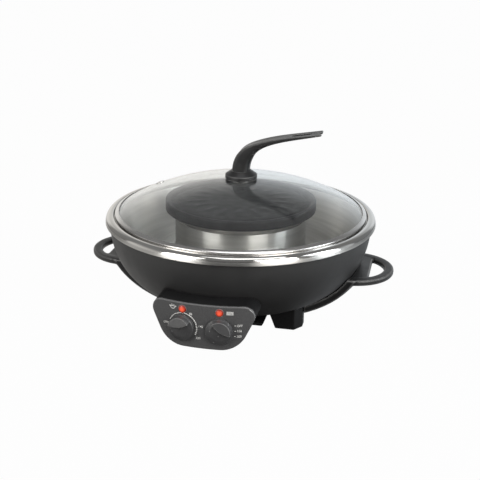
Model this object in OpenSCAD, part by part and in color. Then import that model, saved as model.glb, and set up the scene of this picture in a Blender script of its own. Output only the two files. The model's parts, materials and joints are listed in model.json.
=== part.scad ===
// Electric hot pot with a grill plate on its central chimney and a loose glass lid.
// Every module is drawn round the pot's own axis, with the table at z = 0 and the panel towards -Y.

/* [Bowl and pot] */
// Largest radius of the pot's rolled rim
rim_r = 190; // [186:1:194]
// Height of the rim's lower edge above the table
rim_z = 133; // [131:1:136]
// Height of the pot's inner floor
floor_z = 84; // [80:1:88]
// Outer radius of the central chimney
chimney_r = 92.3; // [90:0.1:94]
// Radius where the chimney runs out into the floor
chimney_fillet = 14; // [10:1:16]
// Sheet thickness of the stainless pot
pot_t = 1.2; // [1:0.1:1.5]
// Wall thickness of the coated bowl
bowl_t = 3; // [2.5:0.1:3.5]

/* [Grill plate] */
// Outer radius of the grill plate
plate_r = 105.5; // [103:0.5:108]
// Height of the plate's rim above the table
plate_top_z = 161; // [159:0.5:162]
// Number of raised ribs on the cooking surface
rib_count = 18; // [12:1:24]

/* [Lid] */
// Outer radius of the steel ring round the glass
lid_r = 176.6; // [175:0.1:177]
// Height of the glass crown above the table
crown_z = 191.8; // [188:0.1:195]
// Outer radius of the glass dome's sphere
dome_r = 346.7; // [340:0.1:352]
// Glass thickness
glass_t = 4; // [3:0.5:5]
// Distance of the steam vent from the lid's centre
vent_r = 133; // [120:1:145]
// Direction of the steam vent, counted from +X
vent_angle = 165; // [150:1:180]
// Radius of the round flange under the lid handle
collar_r = 22.3; // [20:0.1:24]
// Height of the lid handle's tip above the table
tip_z = 262; // [255:0.5:268]
// Reach of the lid handle's tip from the pot's axis
tip_x = 111; // [100:1:120]

/* [Side handles] */
// Reach of each closed loop from the pot's axis
loop_reach = 219; // [214:1:226]
// Outer radius of the loop, seen from above
loop_r = 57; // [54:1:60]
// Width of the loop's bar
loop_bar = 13.5; // [11:0.5:14.5]
// Thickness of the loop
loop_h = 9; // [7:0.5:10]
// Height of the loop's top face
loop_top_z = 75.5; // [72:0.5:77]

/* [Control panel] */
// Radius of the curved panel about the pot's axis
face_r = 206; // [204:1:210]
// Height of the panel's top edge
face_top_z = 85; // [83:1:87]
// Height of the panel's bottom edge
face_bottom_z = 25; // [22:1:26]
// Distance of the panel's middle from the front, along X
panel_x = -5.5; // [-8:0.5:0]
// Height of the two knobs' axes
knob_z = 52.5; // [50:0.5:55]
// Height of the two red lamps
lamp_z = 76.5; // [75:0.5:78]
// Direction of the hot-pot knob from the panel's middle
hotpot_angle = -8.4; // [-10:0.1:-7]
// Direction of the grill knob from the panel's middle
grill_angle = 5; // [4:0.1:7]
// Radius of the knobs
knob_r = 17.3; // [15:0.1:17.5]
// Height of the knobs in front of the panel
knob_h = 14; // [12:0.5:16]

/* [Base] */
// Outer radius of the underframe's top edge
frame_r = 86; // [84:0.5:87]
// Height of the bowl's flat bottom
bottom_z = 24; // [23:0.5:26]

/* [Hidden] */
$fn = 96;

// The part's origin is the middle of its footprint, so the pot's axis lies behind it.
knob_front_r = face_r + 1 + knob_h;
front_reach = knob_front_r * cos(grill_angle);
axis_y = (front_reach - rim_r) / 2;

// Gaps: between separate bodies, between neighbours in one body, and round a shaft or a screw.
body_gap = 0.3;
seat_gap = 0.2;
shaft_gap = 0.05;

// The bowl's outer line from under the rim to the edge of its flat bottom.
bowl_r = rim_r - 6;
bowl_bottom_r = 96;
bowl_top_z = rim_z + 8.6;
bowl_curve = [
    [bowl_r, rim_z - 2], [bowl_r - 1, 82], [158, 44], [bowl_bottom_r, bottom_z]
];
bowl_steps = 16;

// The pot rests on the bowl's edge under the crest of its rim.
crest_z = bowl_top_z + pot_t + 0.4;
ledge_z = rim_z + 5;
ledge_r = rim_r - 19;
pot_wall_r = ledge_r - 1.2;
chimney_top_z = plate_top_z - 9;

// The grill plate hangs over the chimney's top.
plate_under_z = chimney_top_z + body_gap;
plate_skirt_z = plate_top_z - 13.5;
gutter_z = plate_top_z - 5;
griddle_r = 90;

// The lid's sphere, and the heights of what clamps the handle to the glass.
dome_z = crown_z - dome_r;
glass_r = lid_r - 1.6;
lid_seat_z = ledge_z + body_gap;
collar_top_z = crown_z + 11.4;
glass_under_z = crown_z - glass_t;
washer_top_z = glass_under_z - body_gap;
washer_t = 1.2;
disc_top_z = washer_top_z - washer_t;
disc_t = 1.2;
screw_r = 2.5;
grommet_r = 6;

// The lid handle's spine in the X-Z plane, and the size of its cross-section along it.
spine = [[0, collar_top_z], [0, tip_z - 16.3], [50, tip_z - 12.5], [tip_x, tip_z]];
spine_steps = 24;
section_steps = 20;
stem_t = 23.4;
blade_root_t = 7.6;
tip_t = 4;
stem_w = 24;
tip_w = 21;

// Side handles: a strap that hugs the bowl from below and runs out into the loop.
strap_gap = 1;
strap_t = 10;
strap_half = 58;
strap_in_x = 102.6;
tongue_half = 20;
tongue_in_x = frame_r + 1.5;
tongue_z = 17;
loop_x = loop_reach - loop_r;
inner_bar_x = 181;
inner_bar_w = 6;
handle_screw_x = 93;
handle_screw_y = 11;

// Screws of 4 mm hold the handles and the underframe to bosses in the bowl.
m4_r = 2;
m4_head_r = 4;
boss_r = 4.8;
boss_top_z = bottom_z + bowl_t + 6;
frame_screw_r = 62;
frame_screw_angles = [30, 150, 210, 330];
screw_end_z = boss_top_z - 2;

// Underframe, cover and feet.
frame_low_z = 12;
frame_low_r = frame_r - 12;
flange_z = 13.7;
flange_t = 2;
flange_in_r = 64;
cover_t = 1.5;
cover_screw_r = 67.5;
cover_screw_angles = [45, 165, 285];
foot_in_x = 66;
foot_corner_x = 92.5;
foot_out_x = 102;
foot_front_y = 74;
foot_side_y = 60;
foot_back_y = 46;
foot_flare = 14;
foot_z = 1;
foot_top_z = 36;
pad_r = 7;
pad_t = 3;
pad_x = 83;
pad_y = 60;
foot_head_z = pad_t + 3.5;
gland_z = 18;
gland_r = 4.5;
cord_r = 3.3;

// Control housing and panel.
face_t = 3;
face_side_slope = 0.475;
face_low_half = 46.5;
face_top_corner = 14;
face_low_corner = 35;
housing_wall = 2.5;
housing_rear_y = 112;
neck_half = 20;
neck_z = 13.5;
neck_h = 12;
skirt_half = 54.5;
skirt_flare = 2.5;
skirt_z = 21;
skirt_front_y = 114;
skirt_back_y = 78;
floor_wire_z = face_bottom_z + housing_wall + 1.5;
face_screw_xs = [panel_x - 15, panel_x + 15];
face_screw_y = 198;
lamp_r = 5;
bush_r = 5;
shaft_r = 3;
petal_r = 35;
petal_y = 3.6;
petal_slope = 14;
control_front_r = face_r - face_t - 4;
thermostat_size = [34, 28, 24];
switch_size = [30, 26, 20];
thermostat_wire_z = knob_z - thermostat_size[1] / 2 - 0.2;
switch_wire_z = knob_z - switch_size[1] / 2 - 0.2;

// Heaters.
tube_r = 4;
hotpot_ring_r = 128;
hotpot_ring_z = floor_z - pot_t - 0.6 - tube_r;
hotpot_leg_x = 11.2;
hotpot_leg_y = 58;
grill_ring_r = 62;
grill_ring_z = plate_under_z - 2.3 - tube_r;
grill_leg_x = 10.8;
grill_leg_y = 16;
leg_end_z = 17;
leg_hole_r = tube_r + 0.6;
post_angles = [90, 210, 330];
post_r = 3;
reflector_z = 57;
reflector_t = 1;
column_r = 42;
column_t = 2;
column_top_z = 129;
dish_t = 1.2;
dish_r = 85;
bulb_x = 112;
bulb_r = 3;
capillary_x = 40;
capillary_y = -48;
capillary_r = 1.2;

// Parts in the base.
wire_r = 1.2;
wire_sides = 12;
low_wire_z = 15.4;
high_wire_z = 19;
block_size = [36, 16, 7.8];
block_y = 10;
block_z = 14.2;
fuse_x = -28;
earth_x = 40;

// A bend in a heater tube is a ball whose radius is this much larger than the tube's.
elbow = 0.15;

// Geometry helpers.
function bezier(p, n) = [
    for (i = [0:n]) let (t = i / n, u = 1 - t)
        u * u * u * p[0] + 3 * u * u * t * p[1] + 3 * u * t * t * p[2] + t * t * t * p[3]
];
function arc(centre, r, from, to, n) = [
    for (i = [0:n]) let (a = from + (to - from) * i / n) centre + r * [cos(a), sin(a)]
];
function unit(v) = v / norm(v);
function normal(v) = unit([v[1], -v[0]]);
function shifted(p, d) = [
    for (i = [0:len(p) - 1])
        p[i] + d * normal(p[min(i + 1, len(p) - 1)] - p[max(i - 1, 0)])
];
function reversed(p) = [for (i = [len(p) - 1:-1:0]) p[i]];
function turned(a) = a > 180 ? a - 360 : a < -180 ? a + 360 : a;
function corner(before, at, after, r, n) =
    let (
        u = unit(before - at),
        v = unit(after - at),
        half = acos(u * v) / 2,
        centre = at + unit(u + v) * r / sin(half),
        first = at + u * r / tan(half) - centre,
        last = at + v * r / tan(half) - centre,
        from = atan2(first[1], first[0]),
        sweep = turned(atan2(last[1], last[0]) - from)
    )
    arc(centre, r, from, from + sweep, n);
function rounded(p, radii, n) = [
    for (i = [0:len(p) - 1])
        each corner(p[(i + len(p) - 1) % len(p)], p[i], p[(i + 1) % len(p)], radii[i], n)
];

// Lines of the bowl and the pot, from the rim down to the middle.
bowl_line = concat([[bowl_r, bowl_top_z]], bezier(bowl_curve, bowl_steps));
bowl_inner_line = shifted(bowl_line, bowl_t);
pot_line = concat(
    bezier([[rim_r, rim_z], [rim_r, rim_z + 5.8], [rim_r - 2.5, crest_z], [rim_r - 7.5, crest_z]], 8),
    [[rim_r - 10, crest_z], [rim_r - 11.4, crest_z - 1], [rim_r - 11.8, ledge_z + 1]],
    [[rim_r - 12.6, ledge_z], [ledge_r, ledge_z]],
    bezier([[pot_wall_r, ledge_z - 1.4], [pot_wall_r - 1.3, 104], [158, floor_z], [138, floor_z]], 12),
    arc([chimney_r + chimney_fillet, floor_z + chimney_fillet], chimney_fillet, -90, -180, 8),
    arc([chimney_r - 1.5, chimney_top_z - 1.5], 1.5, 0, 90, 3),
    [[chimney_r - 3.8, chimney_top_z]]
);

// Everything below the bowl's outer line, grown outwards, to be cut from what sits against the bowl.
module bowl_space(grow) {
    line = shifted(bowl_line, -grow);
    rotate_extrude()
        polygon(concat([[0, bowl_top_z]], line, [[0, bottom_z - grow]]));
}

module ring_of(r, angles) {
    for (a = angles) rotate([0, 0, a]) translate([r, 0, 0]) children();
}

// Places children on the panel: z points out of the panel, y up.
module at_panel(angle, z, r) {
    rotate([0, 0, angle]) translate([0, -r, z]) rotate([90, 0, 0]) children();
}

// Places children on the dome with z along its normal.
module at_dome(angle, r, height) {
    rotate([0, 0, angle]) translate([0, 0, dome_z])
        rotate([0, asin(r / dome_r), 0]) translate([0, 0, dome_r + height]) children();
}

// A wire through a list of points, mitred at each bend: every ring is the last one, moved along the wire
// until it meets the bend's own plane.
function mitred(points, i, ring) =
    i == len(points) ? [] :
    let (
        along = unit(points[i] - points[i - 1]),
        facing = i == len(points) - 1 ? along : unit(along + unit(points[i + 1] - points[i])),
        next = [for (v = ring) v + along * ((points[i] - v) * facing) / (along * facing)]
    )
    concat(next, mitred(points, i + 1, next));

module wire(points, r) {
    n = wire_sides;
    along = unit(points[1] - points[0]);
    side = unit(cross(along, abs(along[2]) < 0.9 ? [0, 0, 1] : [1, 0, 0]));
    up = cross(side, along);
    start = [for (i = [0:n - 1]) points[0] + r * (side * cos(360 * i / n) + up * sin(360 * i / n))];
    last = len(points) - 1;
    polyhedron(
        points = concat(start, mitred(points, 1, start)),
        faces = concat(
            [[for (i = [0:n - 1]) i]],
            [for (k = [0:last - 1], i = [0:n - 1]) let (j = (i + 1) % n, a = k * n, b = a + n)
                [a + i, b + i, b + j, a + j]],
            [[for (i = [n - 1:-1:0]) last * n + i]]
        ),
        convexity = 6
    );
}

module m4_screw(head_z, head_h) {
    translate([0, 0, head_z - head_h]) cylinder(r = m4_head_r, h = head_h, $fn = 32);
    translate([0, 0, head_z]) cylinder(r = m4_r, h = screw_end_z - head_z, $fn = 32);
}

module handle_screw_places() {
    for (x = [-handle_screw_x, handle_screw_x], y = [-handle_screw_y, handle_screw_y])
        translate([x, y, 0]) children();
}

module at_pads() {
    for (x = [-pad_x, pad_x], y = [-pad_y, pad_y]) translate([x, y, 0]) children();
}

// Bowl, pot and grill plate.
module outer_bowl() color([0.2, 0.2, 0.21]) difference() {
    union() {
        rotate_extrude($fn = 180)
            polygon(concat(
                bowl_line, [[0, bottom_z], [0, bottom_z + bowl_t]], reversed(bowl_inner_line)
            ));
        translate([0, 0, bottom_z + bowl_t / 2]) {
            ring_of(frame_screw_r, frame_screw_angles)
                cylinder(r = boss_r, h = boss_top_z - bottom_z - bowl_t / 2, $fn = 32);
            handle_screw_places() cylinder(r = boss_r, h = boss_top_z - bottom_z - bowl_t / 2, $fn = 32);
            translate([earth_x, earth_x, 0])
                cylinder(r = boss_r, h = boss_top_z - bottom_z - bowl_t / 2, $fn = 32);
        }
        intersection() {
            bowl_space(-bowl_t / 2);
            at_pads() translate([0, 0, bottom_z]) cylinder(r = boss_r, h = boss_top_z - bottom_z, $fn = 32);
        }
    }
    translate([0, 0, bottom_z - 1]) {
        cylinder(r = column_r - column_t - 6, h = bowl_t + 2);
        for (x = [-hotpot_leg_x, hotpot_leg_x])
            translate([x, -hotpot_leg_y, 0]) cylinder(r = leg_hole_r, h = bowl_t + 2, $fn = 32);
        translate([capillary_x, capillary_y, 0]) cylinder(r = 2, h = bowl_t + 2, $fn = 32);
        ring_of(frame_screw_r, frame_screw_angles) cylinder(r = m4_r + shaft_gap, h = 20, $fn = 32);
        handle_screw_places() cylinder(r = m4_r + shaft_gap, h = 20, $fn = 32);
        translate([earth_x, earth_x, 0]) cylinder(r = m4_r + shaft_gap, h = 20, $fn = 32);
        at_pads() cylinder(r = m4_r + shaft_gap, h = 20, $fn = 32);
    }
}

module pot_liner() color([0.75, 0.75, 0.74])
    rotate_extrude($fn = 180) polygon(concat(pot_line, reversed(shifted(pot_line, -pot_t))));

module grill_plate() color([0.22, 0.22, 0.23]) {
    rotate_extrude($fn = 180) polygon(concat(
        [[0, plate_under_z], [85, plate_under_z], [85.6, plate_under_z - 3.8], [87.8, plate_under_z - 3.8]],
        [[87.8, plate_under_z], [plate_r - 5, plate_under_z], [plate_r - 3.5, plate_skirt_z]],
        [[plate_r - 0.6, plate_skirt_z], [plate_r, plate_skirt_z + 0.8]],
        arc([plate_r - 2.5, plate_top_z - 2.5], 2.5, 0, 90, 4),
        [[plate_r - 4.2, plate_top_z - 0.2], [plate_r - 8, gutter_z + 0.8], [plate_r - 10, gutter_z]],
        [[griddle_r + 2.5, gutter_z], [griddle_r, gutter_z + 1.4], [griddle_r - 8, gutter_z + 2.1]],
        [[0, gutter_z + 3]]
    ));
    ring_of(46, [for (i = [0:rib_count - 1]) i * 360 / rib_count])
        translate([0, -1.6, gutter_z]) cube([32, 3.2, 3.7]);
}

// Lid.
module lid_glass() color([0.85, 0.9, 0.9, 0.35]) difference() {
    intersection() {
        translate([0, 0, dome_z]) difference() {
            sphere(r = dome_r, $fn = 180);
            sphere(r = dome_r - glass_t, $fn = 180);
        }
        translate([0, 0, ledge_z]) cylinder(r = glass_r, h = crown_z, $fn = 180);
    }
    translate([0, 0, glass_under_z - 2]) cylinder(r = 3.2, h = glass_t + 4, $fn = 48);
    at_dome(vent_angle, vent_r, -glass_t - 2) cylinder(r = 4, h = glass_t + 4, $fn = 48);
}

// Height of the glass's outer and inner faces at a radius.
function glass_out_z(r) = dome_z + sqrt(dome_r * dome_r - r * r);
function glass_in_z(r) = dome_z + sqrt(pow(dome_r - glass_t, 2) - r * r);

module lid_rim() color([0.8, 0.8, 0.8])
    rotate_extrude($fn = 180) polygon([
        [lid_r - 5.4, glass_out_z(lid_r - 5.4) + seat_gap], [glass_r + seat_gap, glass_out_z(glass_r) + seat_gap],
        [glass_r + seat_gap, glass_in_z(glass_r) - seat_gap], [lid_r - 5.4, glass_in_z(lid_r - 5.4) - seat_gap],
        [lid_r - 5.4, glass_in_z(lid_r - 5.4) - 1.1], [lid_r - 2, lid_seat_z],
        [lid_r - 0.3, lid_seat_z], [lid_r, lid_seat_z + 0.3],
        [lid_r, glass_out_z(glass_r) + 0.4], [lid_r - 0.6, glass_out_z(glass_r) + 1.1],
        [lid_r - 5.4, glass_out_z(lid_r - 5.4) + 1.1]
    ]);

module vent_grommet() color([0.72, 0.72, 0.72]) at_dome(vent_angle, vent_r, 0) difference() {
    union() {
        translate([0, 0, 0.1]) cylinder(r = grommet_r, h = 1, $fn = 48);
        translate([0, 0, -glass_t - 1.2]) cylinder(r = 3.9, h = glass_t + 1.8, $fn = 48);
        translate([0, 0, -glass_t - 1.2]) cylinder(r = grommet_r, h = 1, $fn = 48);
    }
    translate([0, 0, -glass_t - 2]) cylinder(r = 2.2, h = glass_t + 4, $fn = 48);
}

module lid_washer() color([0.1, 0.1, 0.1]) translate([0, 0, disc_top_z]) difference() {
    cylinder(r = 12, h = washer_t);
    translate([0, 0, -1]) cylinder(r = screw_r + shaft_gap, h = washer_t + 2, $fn = 48);
}

module clamp_disc() color([0.75, 0.75, 0.75]) translate([0, 0, disc_top_z - disc_t]) difference() {
    cylinder(r = 15, h = disc_t);
    translate([0, 0, -1]) cylinder(r = screw_r + shaft_gap, h = disc_t + 2, $fn = 48);
}

module handle_screw() color([0.7, 0.7, 0.7]) difference() {
    translate([0, 0, disc_top_z - disc_t]) {
        translate([0, 0, -3]) cylinder(r = 4.5, h = 3, $fn = 48);
        cylinder(r = screw_r, h = 31, $fn = 48);
    }
    translate([-3.5, -0.6, disc_top_z - disc_t - 4]) cube([7, 1.2, 2]);
}

module handle_collar() color([0.12, 0.12, 0.12]) difference() {
    rotate_extrude() polygon([
        [screw_r + shaft_gap, glass_under_z], [collar_r, glass_under_z],
        [collar_r, collar_top_z - 6.4], [collar_r - 1.2, collar_top_z - 4.9],
        [collar_r - 8.4, collar_top_z], [screw_r + shaft_gap, collar_top_z]
    ]);
    translate([0, 0, dome_z]) sphere(r = dome_r + body_gap, $fn = 180);
}

// The lid handle is swept along its spine. Its section is a square with bulging faces on the stem, and
// it flattens into a blade with a crowned top.
function spine_at(t) = let (u = 1 - t)
    u * u * u * spine[0] + 3 * u * u * t * spine[1] + 3 * u * t * t * spine[2] + t * t * t * spine[3];
function spine_dir(t) = let (d = 0.001) unit(spine_at(min(t + d, 1)) - spine_at(max(t - d, 0)));
function blade_t(t) = blade_root_t + (tip_t - blade_root_t) * t
    + (stem_t - blade_root_t) / (1 + pow(t / 0.35, 4.5));
function blade_w(t) = stem_w + (tip_w - stem_w) * t;
function bulged(v, power) = sign(v) * pow(abs(v), power);
handle_points = [
    for (i = [0:spine_steps]) let (t = i / spine_steps, at = spine_at(t), up = -normal(spine_dir(t)))
        for (j = [0:section_steps - 1])
            let (
                a = 360 * j / section_steps,
                rise = blade_t(t) / 2 * bulged(sin(a), 0.7),
                side = blade_w(t) / 2 * bulged(cos(a), 0.4)
            )
            [at[0] + up[0] * rise, side, at[1] + up[1] * rise]
];
function ring_point(i, j) = i * section_steps + j % section_steps;
handle_faces = concat(
    [[for (j = [0:section_steps - 1]) j]],
    [for (i = [0:spine_steps - 1], j = [0:section_steps - 1])
        each [
            [ring_point(i, j), ring_point(i + 1, j), ring_point(i + 1, j + 1)],
            [ring_point(i, j), ring_point(i + 1, j + 1), ring_point(i, j + 1)]
        ]],
    [[for (j = [section_steps - 1:-1:0]) spine_steps * section_steps + j]]
);

module lid_handle() color([0.12, 0.12, 0.12]) difference() {
    polyhedron(points = handle_points, faces = handle_faces, convexity = 6);
    translate([0, 0, collar_top_z - 1]) cylinder(r = screw_r + shaft_gap, h = 15, $fn = 48);
    // Slot near the tip
    translate([tip_x - 38, 0, tip_z - 20]) {
        translate([0, -4, 0]) cube([20, 8, 40]);
        cylinder(r = 4, h = 40, $fn = 32);
        translate([20, 0, 0]) cylinder(r = 4, h = 40, $fn = 32);
    }
    // Forked tip
    translate([0, 0, tip_z - 20]) linear_extrude(height = 40)
        polygon([[tip_x - 7, 0], [tip_x + 3, -7.5], [tip_x + 3, 7.5]]);
}

// Side handles.
module handle_shape() difference() {
    bar_section = rounded(
        [
            [loop_r - loop_bar, loop_top_z - loop_h], [loop_r, loop_top_z - loop_h],
            [loop_r, loop_top_z], [loop_r - loop_bar, loop_top_z]
        ],
        [3, 3, 3, 3], 4
    );
    union() {
        intersection() {
            rotate_extrude($fn = 180) polygon(concat(
                shifted(bowl_line, 0), reversed(shifted(bowl_line, -strap_gap - strap_t))
            ));
            translate([strap_in_x, -strap_half, 0])
                cube([inner_bar_x - strap_in_x, 2 * strap_half, loop_top_z - 0.5]);
        }
        intersection() {
            translate([loop_x, 0, 0]) rotate_extrude() polygon(bar_section);
            translate([loop_x - 8, -loop_r, 0]) cube([loop_r + 10, 2 * loop_r, 100]);
        }
        translate([loop_x, -40, loop_top_z - loop_h + 0.5])
            cube([inner_bar_x + inner_bar_w - loop_x, 80, loop_h - 1]);
        translate([tongue_in_x, -tongue_half, tongue_z])
            cube([strap_in_x + 6 - tongue_in_x, 2 * tongue_half, bottom_z - tongue_z]);
    }
    bowl_space(strap_gap);
    for (y = [-handle_screw_y, handle_screw_y])
        translate([handle_screw_x, y, 0]) cylinder(r = m4_r + shaft_gap, h = 60, $fn = 32);
}

module right_handle() color([0.13, 0.13, 0.13]) handle_shape();
module left_handle() color([0.13, 0.13, 0.13]) mirror([1, 0, 0]) handle_shape();
module handle_screws() color([0.6, 0.6, 0.6]) handle_screw_places() m4_screw(tongue_z, 2.5);

// Underframe.
module foot() {
    intersection() {
        translate([0, -foot_back_y, 0]) rotate([90, 0, 0])
            linear_extrude(height = foot_front_y - foot_back_y)
                polygon([
                    [foot_in_x, foot_z], [foot_out_x, foot_z],
                    [foot_out_x, foot_top_z], [foot_in_x - foot_flare, foot_top_z]
                ]);
        linear_extrude(height = foot_top_z)
            polygon([
                [foot_in_x - foot_flare, -foot_front_y], [foot_corner_x, -foot_front_y],
                [foot_out_x, -foot_side_y], [foot_out_x, -foot_back_y], [foot_in_x - foot_flare, -foot_back_y]
            ]);
    }
}

// The space that the underframe fills, to be cut from what sits against it.
module frame_space() rotate_extrude() polygon([
    [0, frame_low_z - seat_gap], [frame_low_r + seat_gap, frame_low_z - seat_gap],
    [frame_r + 2 * seat_gap, bottom_z], [0, bottom_z]
]);

module base_frame() color([0.13, 0.13, 0.13]) difference() {
    union() {
        rotate_extrude() polygon([
            [frame_r, bottom_z - seat_gap], [frame_low_r, frame_low_z],
            [frame_low_r - 3, frame_low_z], [frame_low_r - 3, flange_z],
            [flange_in_r, flange_z], [flange_in_r, flange_z + flange_t],
            [frame_low_r - 1.4, flange_z + flange_t], [frame_r - 4, bottom_z - seat_gap]
        ]);
        ring_of(frame_screw_r, frame_screw_angles) translate([0, 0, flange_z + 0.4])
            cylinder(r = 5.5, h = bottom_z - seat_gap - flange_z - 0.4, $fn = 32);
    }
    ring_of(frame_screw_r, frame_screw_angles) {
        cylinder(r = m4_r + shaft_gap, h = 60, $fn = 32);
        cylinder(r = m4_head_r + 0.1, h = flange_z + 3.3, $fn = 32);
    }
    ring_of(cover_screw_r, cover_screw_angles) cylinder(r = 1.5 + shaft_gap, h = 17, $fn = 32);
    translate([-17, -frame_r - 5, flange_z + flange_t + 0.5]) cube([34, 28, 5.6]);
    translate([0, 60, gland_z]) rotate([-90, 0, 0]) cylinder(r = gland_r + shaft_gap, h = 40, $fn = 48);
}

module base_cover() color([0.15, 0.15, 0.15]) translate([0, 0, flange_z - cover_t - 0.1]) difference() {
    cylinder(r = frame_low_r - 3.3, h = cover_t);
    ring_of(cover_screw_r, cover_screw_angles) translate([0, 0, -1])
        cylinder(r = 1.5 + shaft_gap, h = cover_t + 2, $fn = 32);
    ring_of(40, [for (i = [0:9]) 18 + 36 * i]) translate([-6, -1.5, -1]) cube([12, 3, cover_t + 2]);
}

// Four feet outside the underframe, each on a screw that its rubber pad covers.
module feet() color([0.13, 0.13, 0.13]) difference() {
    for (mx = [0, 1], my = [0, 1]) mirror([mx, 0, 0]) mirror([0, my, 0]) foot();
    bowl_space(seat_gap);
    frame_space();
    at_pads() {
        translate([0, 0, -1]) cylinder(r = pad_r + shaft_gap, h = pad_t + 1, $fn = 48);
        cylinder(r = m4_head_r + 0.1, h = foot_head_z, $fn = 32);
        cylinder(r = m4_r + shaft_gap, h = 60, $fn = 32);
    }
}

module foot_pads() color([0.08, 0.08, 0.08]) at_pads() cylinder(r = pad_r, h = pad_t, $fn = 48);

module frame_screws() color([0.6, 0.6, 0.6])
    ring_of(frame_screw_r, frame_screw_angles) m4_screw(flange_z + 3.3, 2.5);

module foot_screws() color([0.6, 0.6, 0.6]) at_pads() m4_screw(foot_head_z, 2.5);

module cover_screws() color([0.6, 0.6, 0.6]) ring_of(cover_screw_r, cover_screw_angles) {
    translate([0, 0, flange_z - cover_t - 1.6]) cylinder(r = 2.8, h = 1.5, $fn = 32);
    translate([0, 0, flange_z - cover_t - 0.1]) cylinder(r = 1.5, h = 3.2, $fn = 32);
}

module cord_gland() color([0.1, 0.1, 0.1]) translate([0, 0, gland_z]) rotate([-90, 0, 0]) difference() {
    union() {
        translate([0, 0, 69]) cylinder(r = gland_r, h = 21, $fn = 48);
        translate([0, 0, 66]) cylinder(r = gland_r, h = 3, $fn = 48);
    }
    translate([0, 0, 60]) cylinder(r = cord_r, h = 40, $fn = 48);
}

// Control housing and panel. The outline is in panel coordinates: x across, y up.
function face_half(z, inset) = face_low_half + (z - face_bottom_z) * face_side_slope
    - inset * sqrt(1 + face_side_slope * face_side_slope);
function face_outline(inset) =
    let (low = face_bottom_z + inset, top = face_top_z - inset)
    rounded(
        [
            [-face_half(low, inset), low], [face_half(low, inset), low],
            [face_half(top, inset), top], [-face_half(top, inset), top]
        ],
        [face_low_corner - inset, face_low_corner - inset, face_top_corner - inset, face_top_corner - inset],
        8
    );

module face_prism(inset, from_y, to_y) {
    translate([panel_x, -from_y, 0]) rotate([90, 0, 0])
        linear_extrude(height = to_y - from_y) polygon(face_outline(inset));
}

// A wide tapered slab that stiffens the neck under the bowl.
module skirt() translate([0, -skirt_back_y, 0]) rotate([90, 0, 0])
    linear_extrude(height = skirt_front_y - skirt_back_y)
        polygon([
            [-skirt_half, skirt_z], [skirt_half, skirt_z],
            [skirt_half + skirt_flare, neck_z + neck_h], [-skirt_half - skirt_flare, neck_z + neck_h]
        ]);

module control_housing() color([0.13, 0.13, 0.13]) difference() {
    channel_y = -housing_rear_y - 13.5;
    union() {
        intersection() {
            face_prism(0, housing_rear_y, face_r + 10);
            cylinder(r = face_r - face_t - seat_gap, h = 100, $fn = 180);
        }
        translate([-neck_half, channel_y - housing_wall, neck_z]) cube([2 * neck_half, 60, neck_h]);
        skirt();
    }
    bowl_space(strap_gap);
    difference() {
        face_prism(housing_wall, housing_rear_y + housing_wall, face_r + 10);
        bowl_space(strap_gap + housing_wall);
    }
    // The wires' channel from the housing through the neck to the base
    translate([housing_wall - neck_half, channel_y, neck_z + housing_wall]) {
        cube([2 * (neck_half - housing_wall), 60, 4.5]);
        cube([2 * (neck_half - housing_wall), 9, face_bottom_z - neck_z + 0.5]);
    }
    frame_space();
    for (x = face_screw_xs) translate([x, -face_screw_y, 0]) {
        cylinder(r = 1.3 + shaft_gap, h = face_bottom_z + 3, $fn = 32);
        cylinder(r = 2.9, h = face_bottom_z + 1.5, $fn = 32);
    }
}

module control_face() color([0.16, 0.16, 0.17]) difference() {
    union() {
        difference() {
            intersection() {
                face_prism(0, housing_rear_y, face_r + 10);
                cylinder(r = face_r, h = 100, $fn = 180);
            }
            cylinder(r = face_r - face_t, h = 100, $fn = 180);
        }
        for (x = face_screw_xs)
            translate([x - 4, -face_screw_y - 5.5, face_bottom_z + housing_wall + 0.2]) cube([8, 9, 9]);
    }
    for (a = [hotpot_angle, grill_angle]) {
        at_panel(a, knob_z, face_r - 10) cylinder(r = bush_r + shaft_gap, h = 20, $fn = 48);
        at_panel(a, lamp_z, face_r - 10) cylinder(r = lamp_r + shaft_gap, h = 20, $fn = 48);
    }
    for (x = face_screw_xs) translate([x, -face_screw_y, face_bottom_z])
        cylinder(r = 1.3 + shaft_gap, h = 11, $fn = 32);
}

module face_screws() color([0.6, 0.6, 0.6])
    for (x = face_screw_xs) translate([x, -face_screw_y, face_bottom_z]) {
        translate([0, 0, 0.1]) cylinder(r = 2.8, h = 1.4, $fn = 32);
        translate([0, 0, 1.5]) cylinder(r = 1.3, h = 8.5, $fn = 32);
    }

module lamp(angle) at_panel(angle, lamp_z, face_r) rotate_extrude($fn = 48)
    polygon(concat([[0, -4.6], [lamp_r + 1.2, -4.6], [lamp_r + 1.2, -3.4], [lamp_r, -3.4], [lamp_r, 0.6]],
        [[lamp_r - 0.5, 1.2]], [[lamp_r - 2, 2], [0, 2.4]]));
module hotpot_lamp() color([0.9, 0.2, 0.1]) lamp(hotpot_angle);
module grill_lamp() color([0.9, 0.2, 0.1]) lamp(grill_angle);
module neon_lamps() color([0.9, 0.8, 0.7])
    for (a = [hotpot_angle, grill_angle])
        at_panel(a, lamp_z, face_r - 16.8) cylinder(r = 2.5, h = 12, $fn = 32);

// A control: a body behind the panel with a threaded bush that comes through it.
module control(angle, size) at_panel(angle, knob_z, control_front_r) difference() {
    union() {
        translate([-size[0] / 2, -size[1] / 2, -size[2]]) cube(size);
        cylinder(r = bush_r, h = face_r - control_front_r + 3, $fn = 48);
    }
    translate([0, 0, -4]) cylinder(r = shaft_r + shaft_gap, h = 20, $fn = 48);
}
module hotpot_thermostat() color([0.85, 0.82, 0.75]) control(hotpot_angle, thermostat_size);
module grill_switch() color([0.3, 0.3, 0.32]) control(grill_angle, switch_size);

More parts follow.
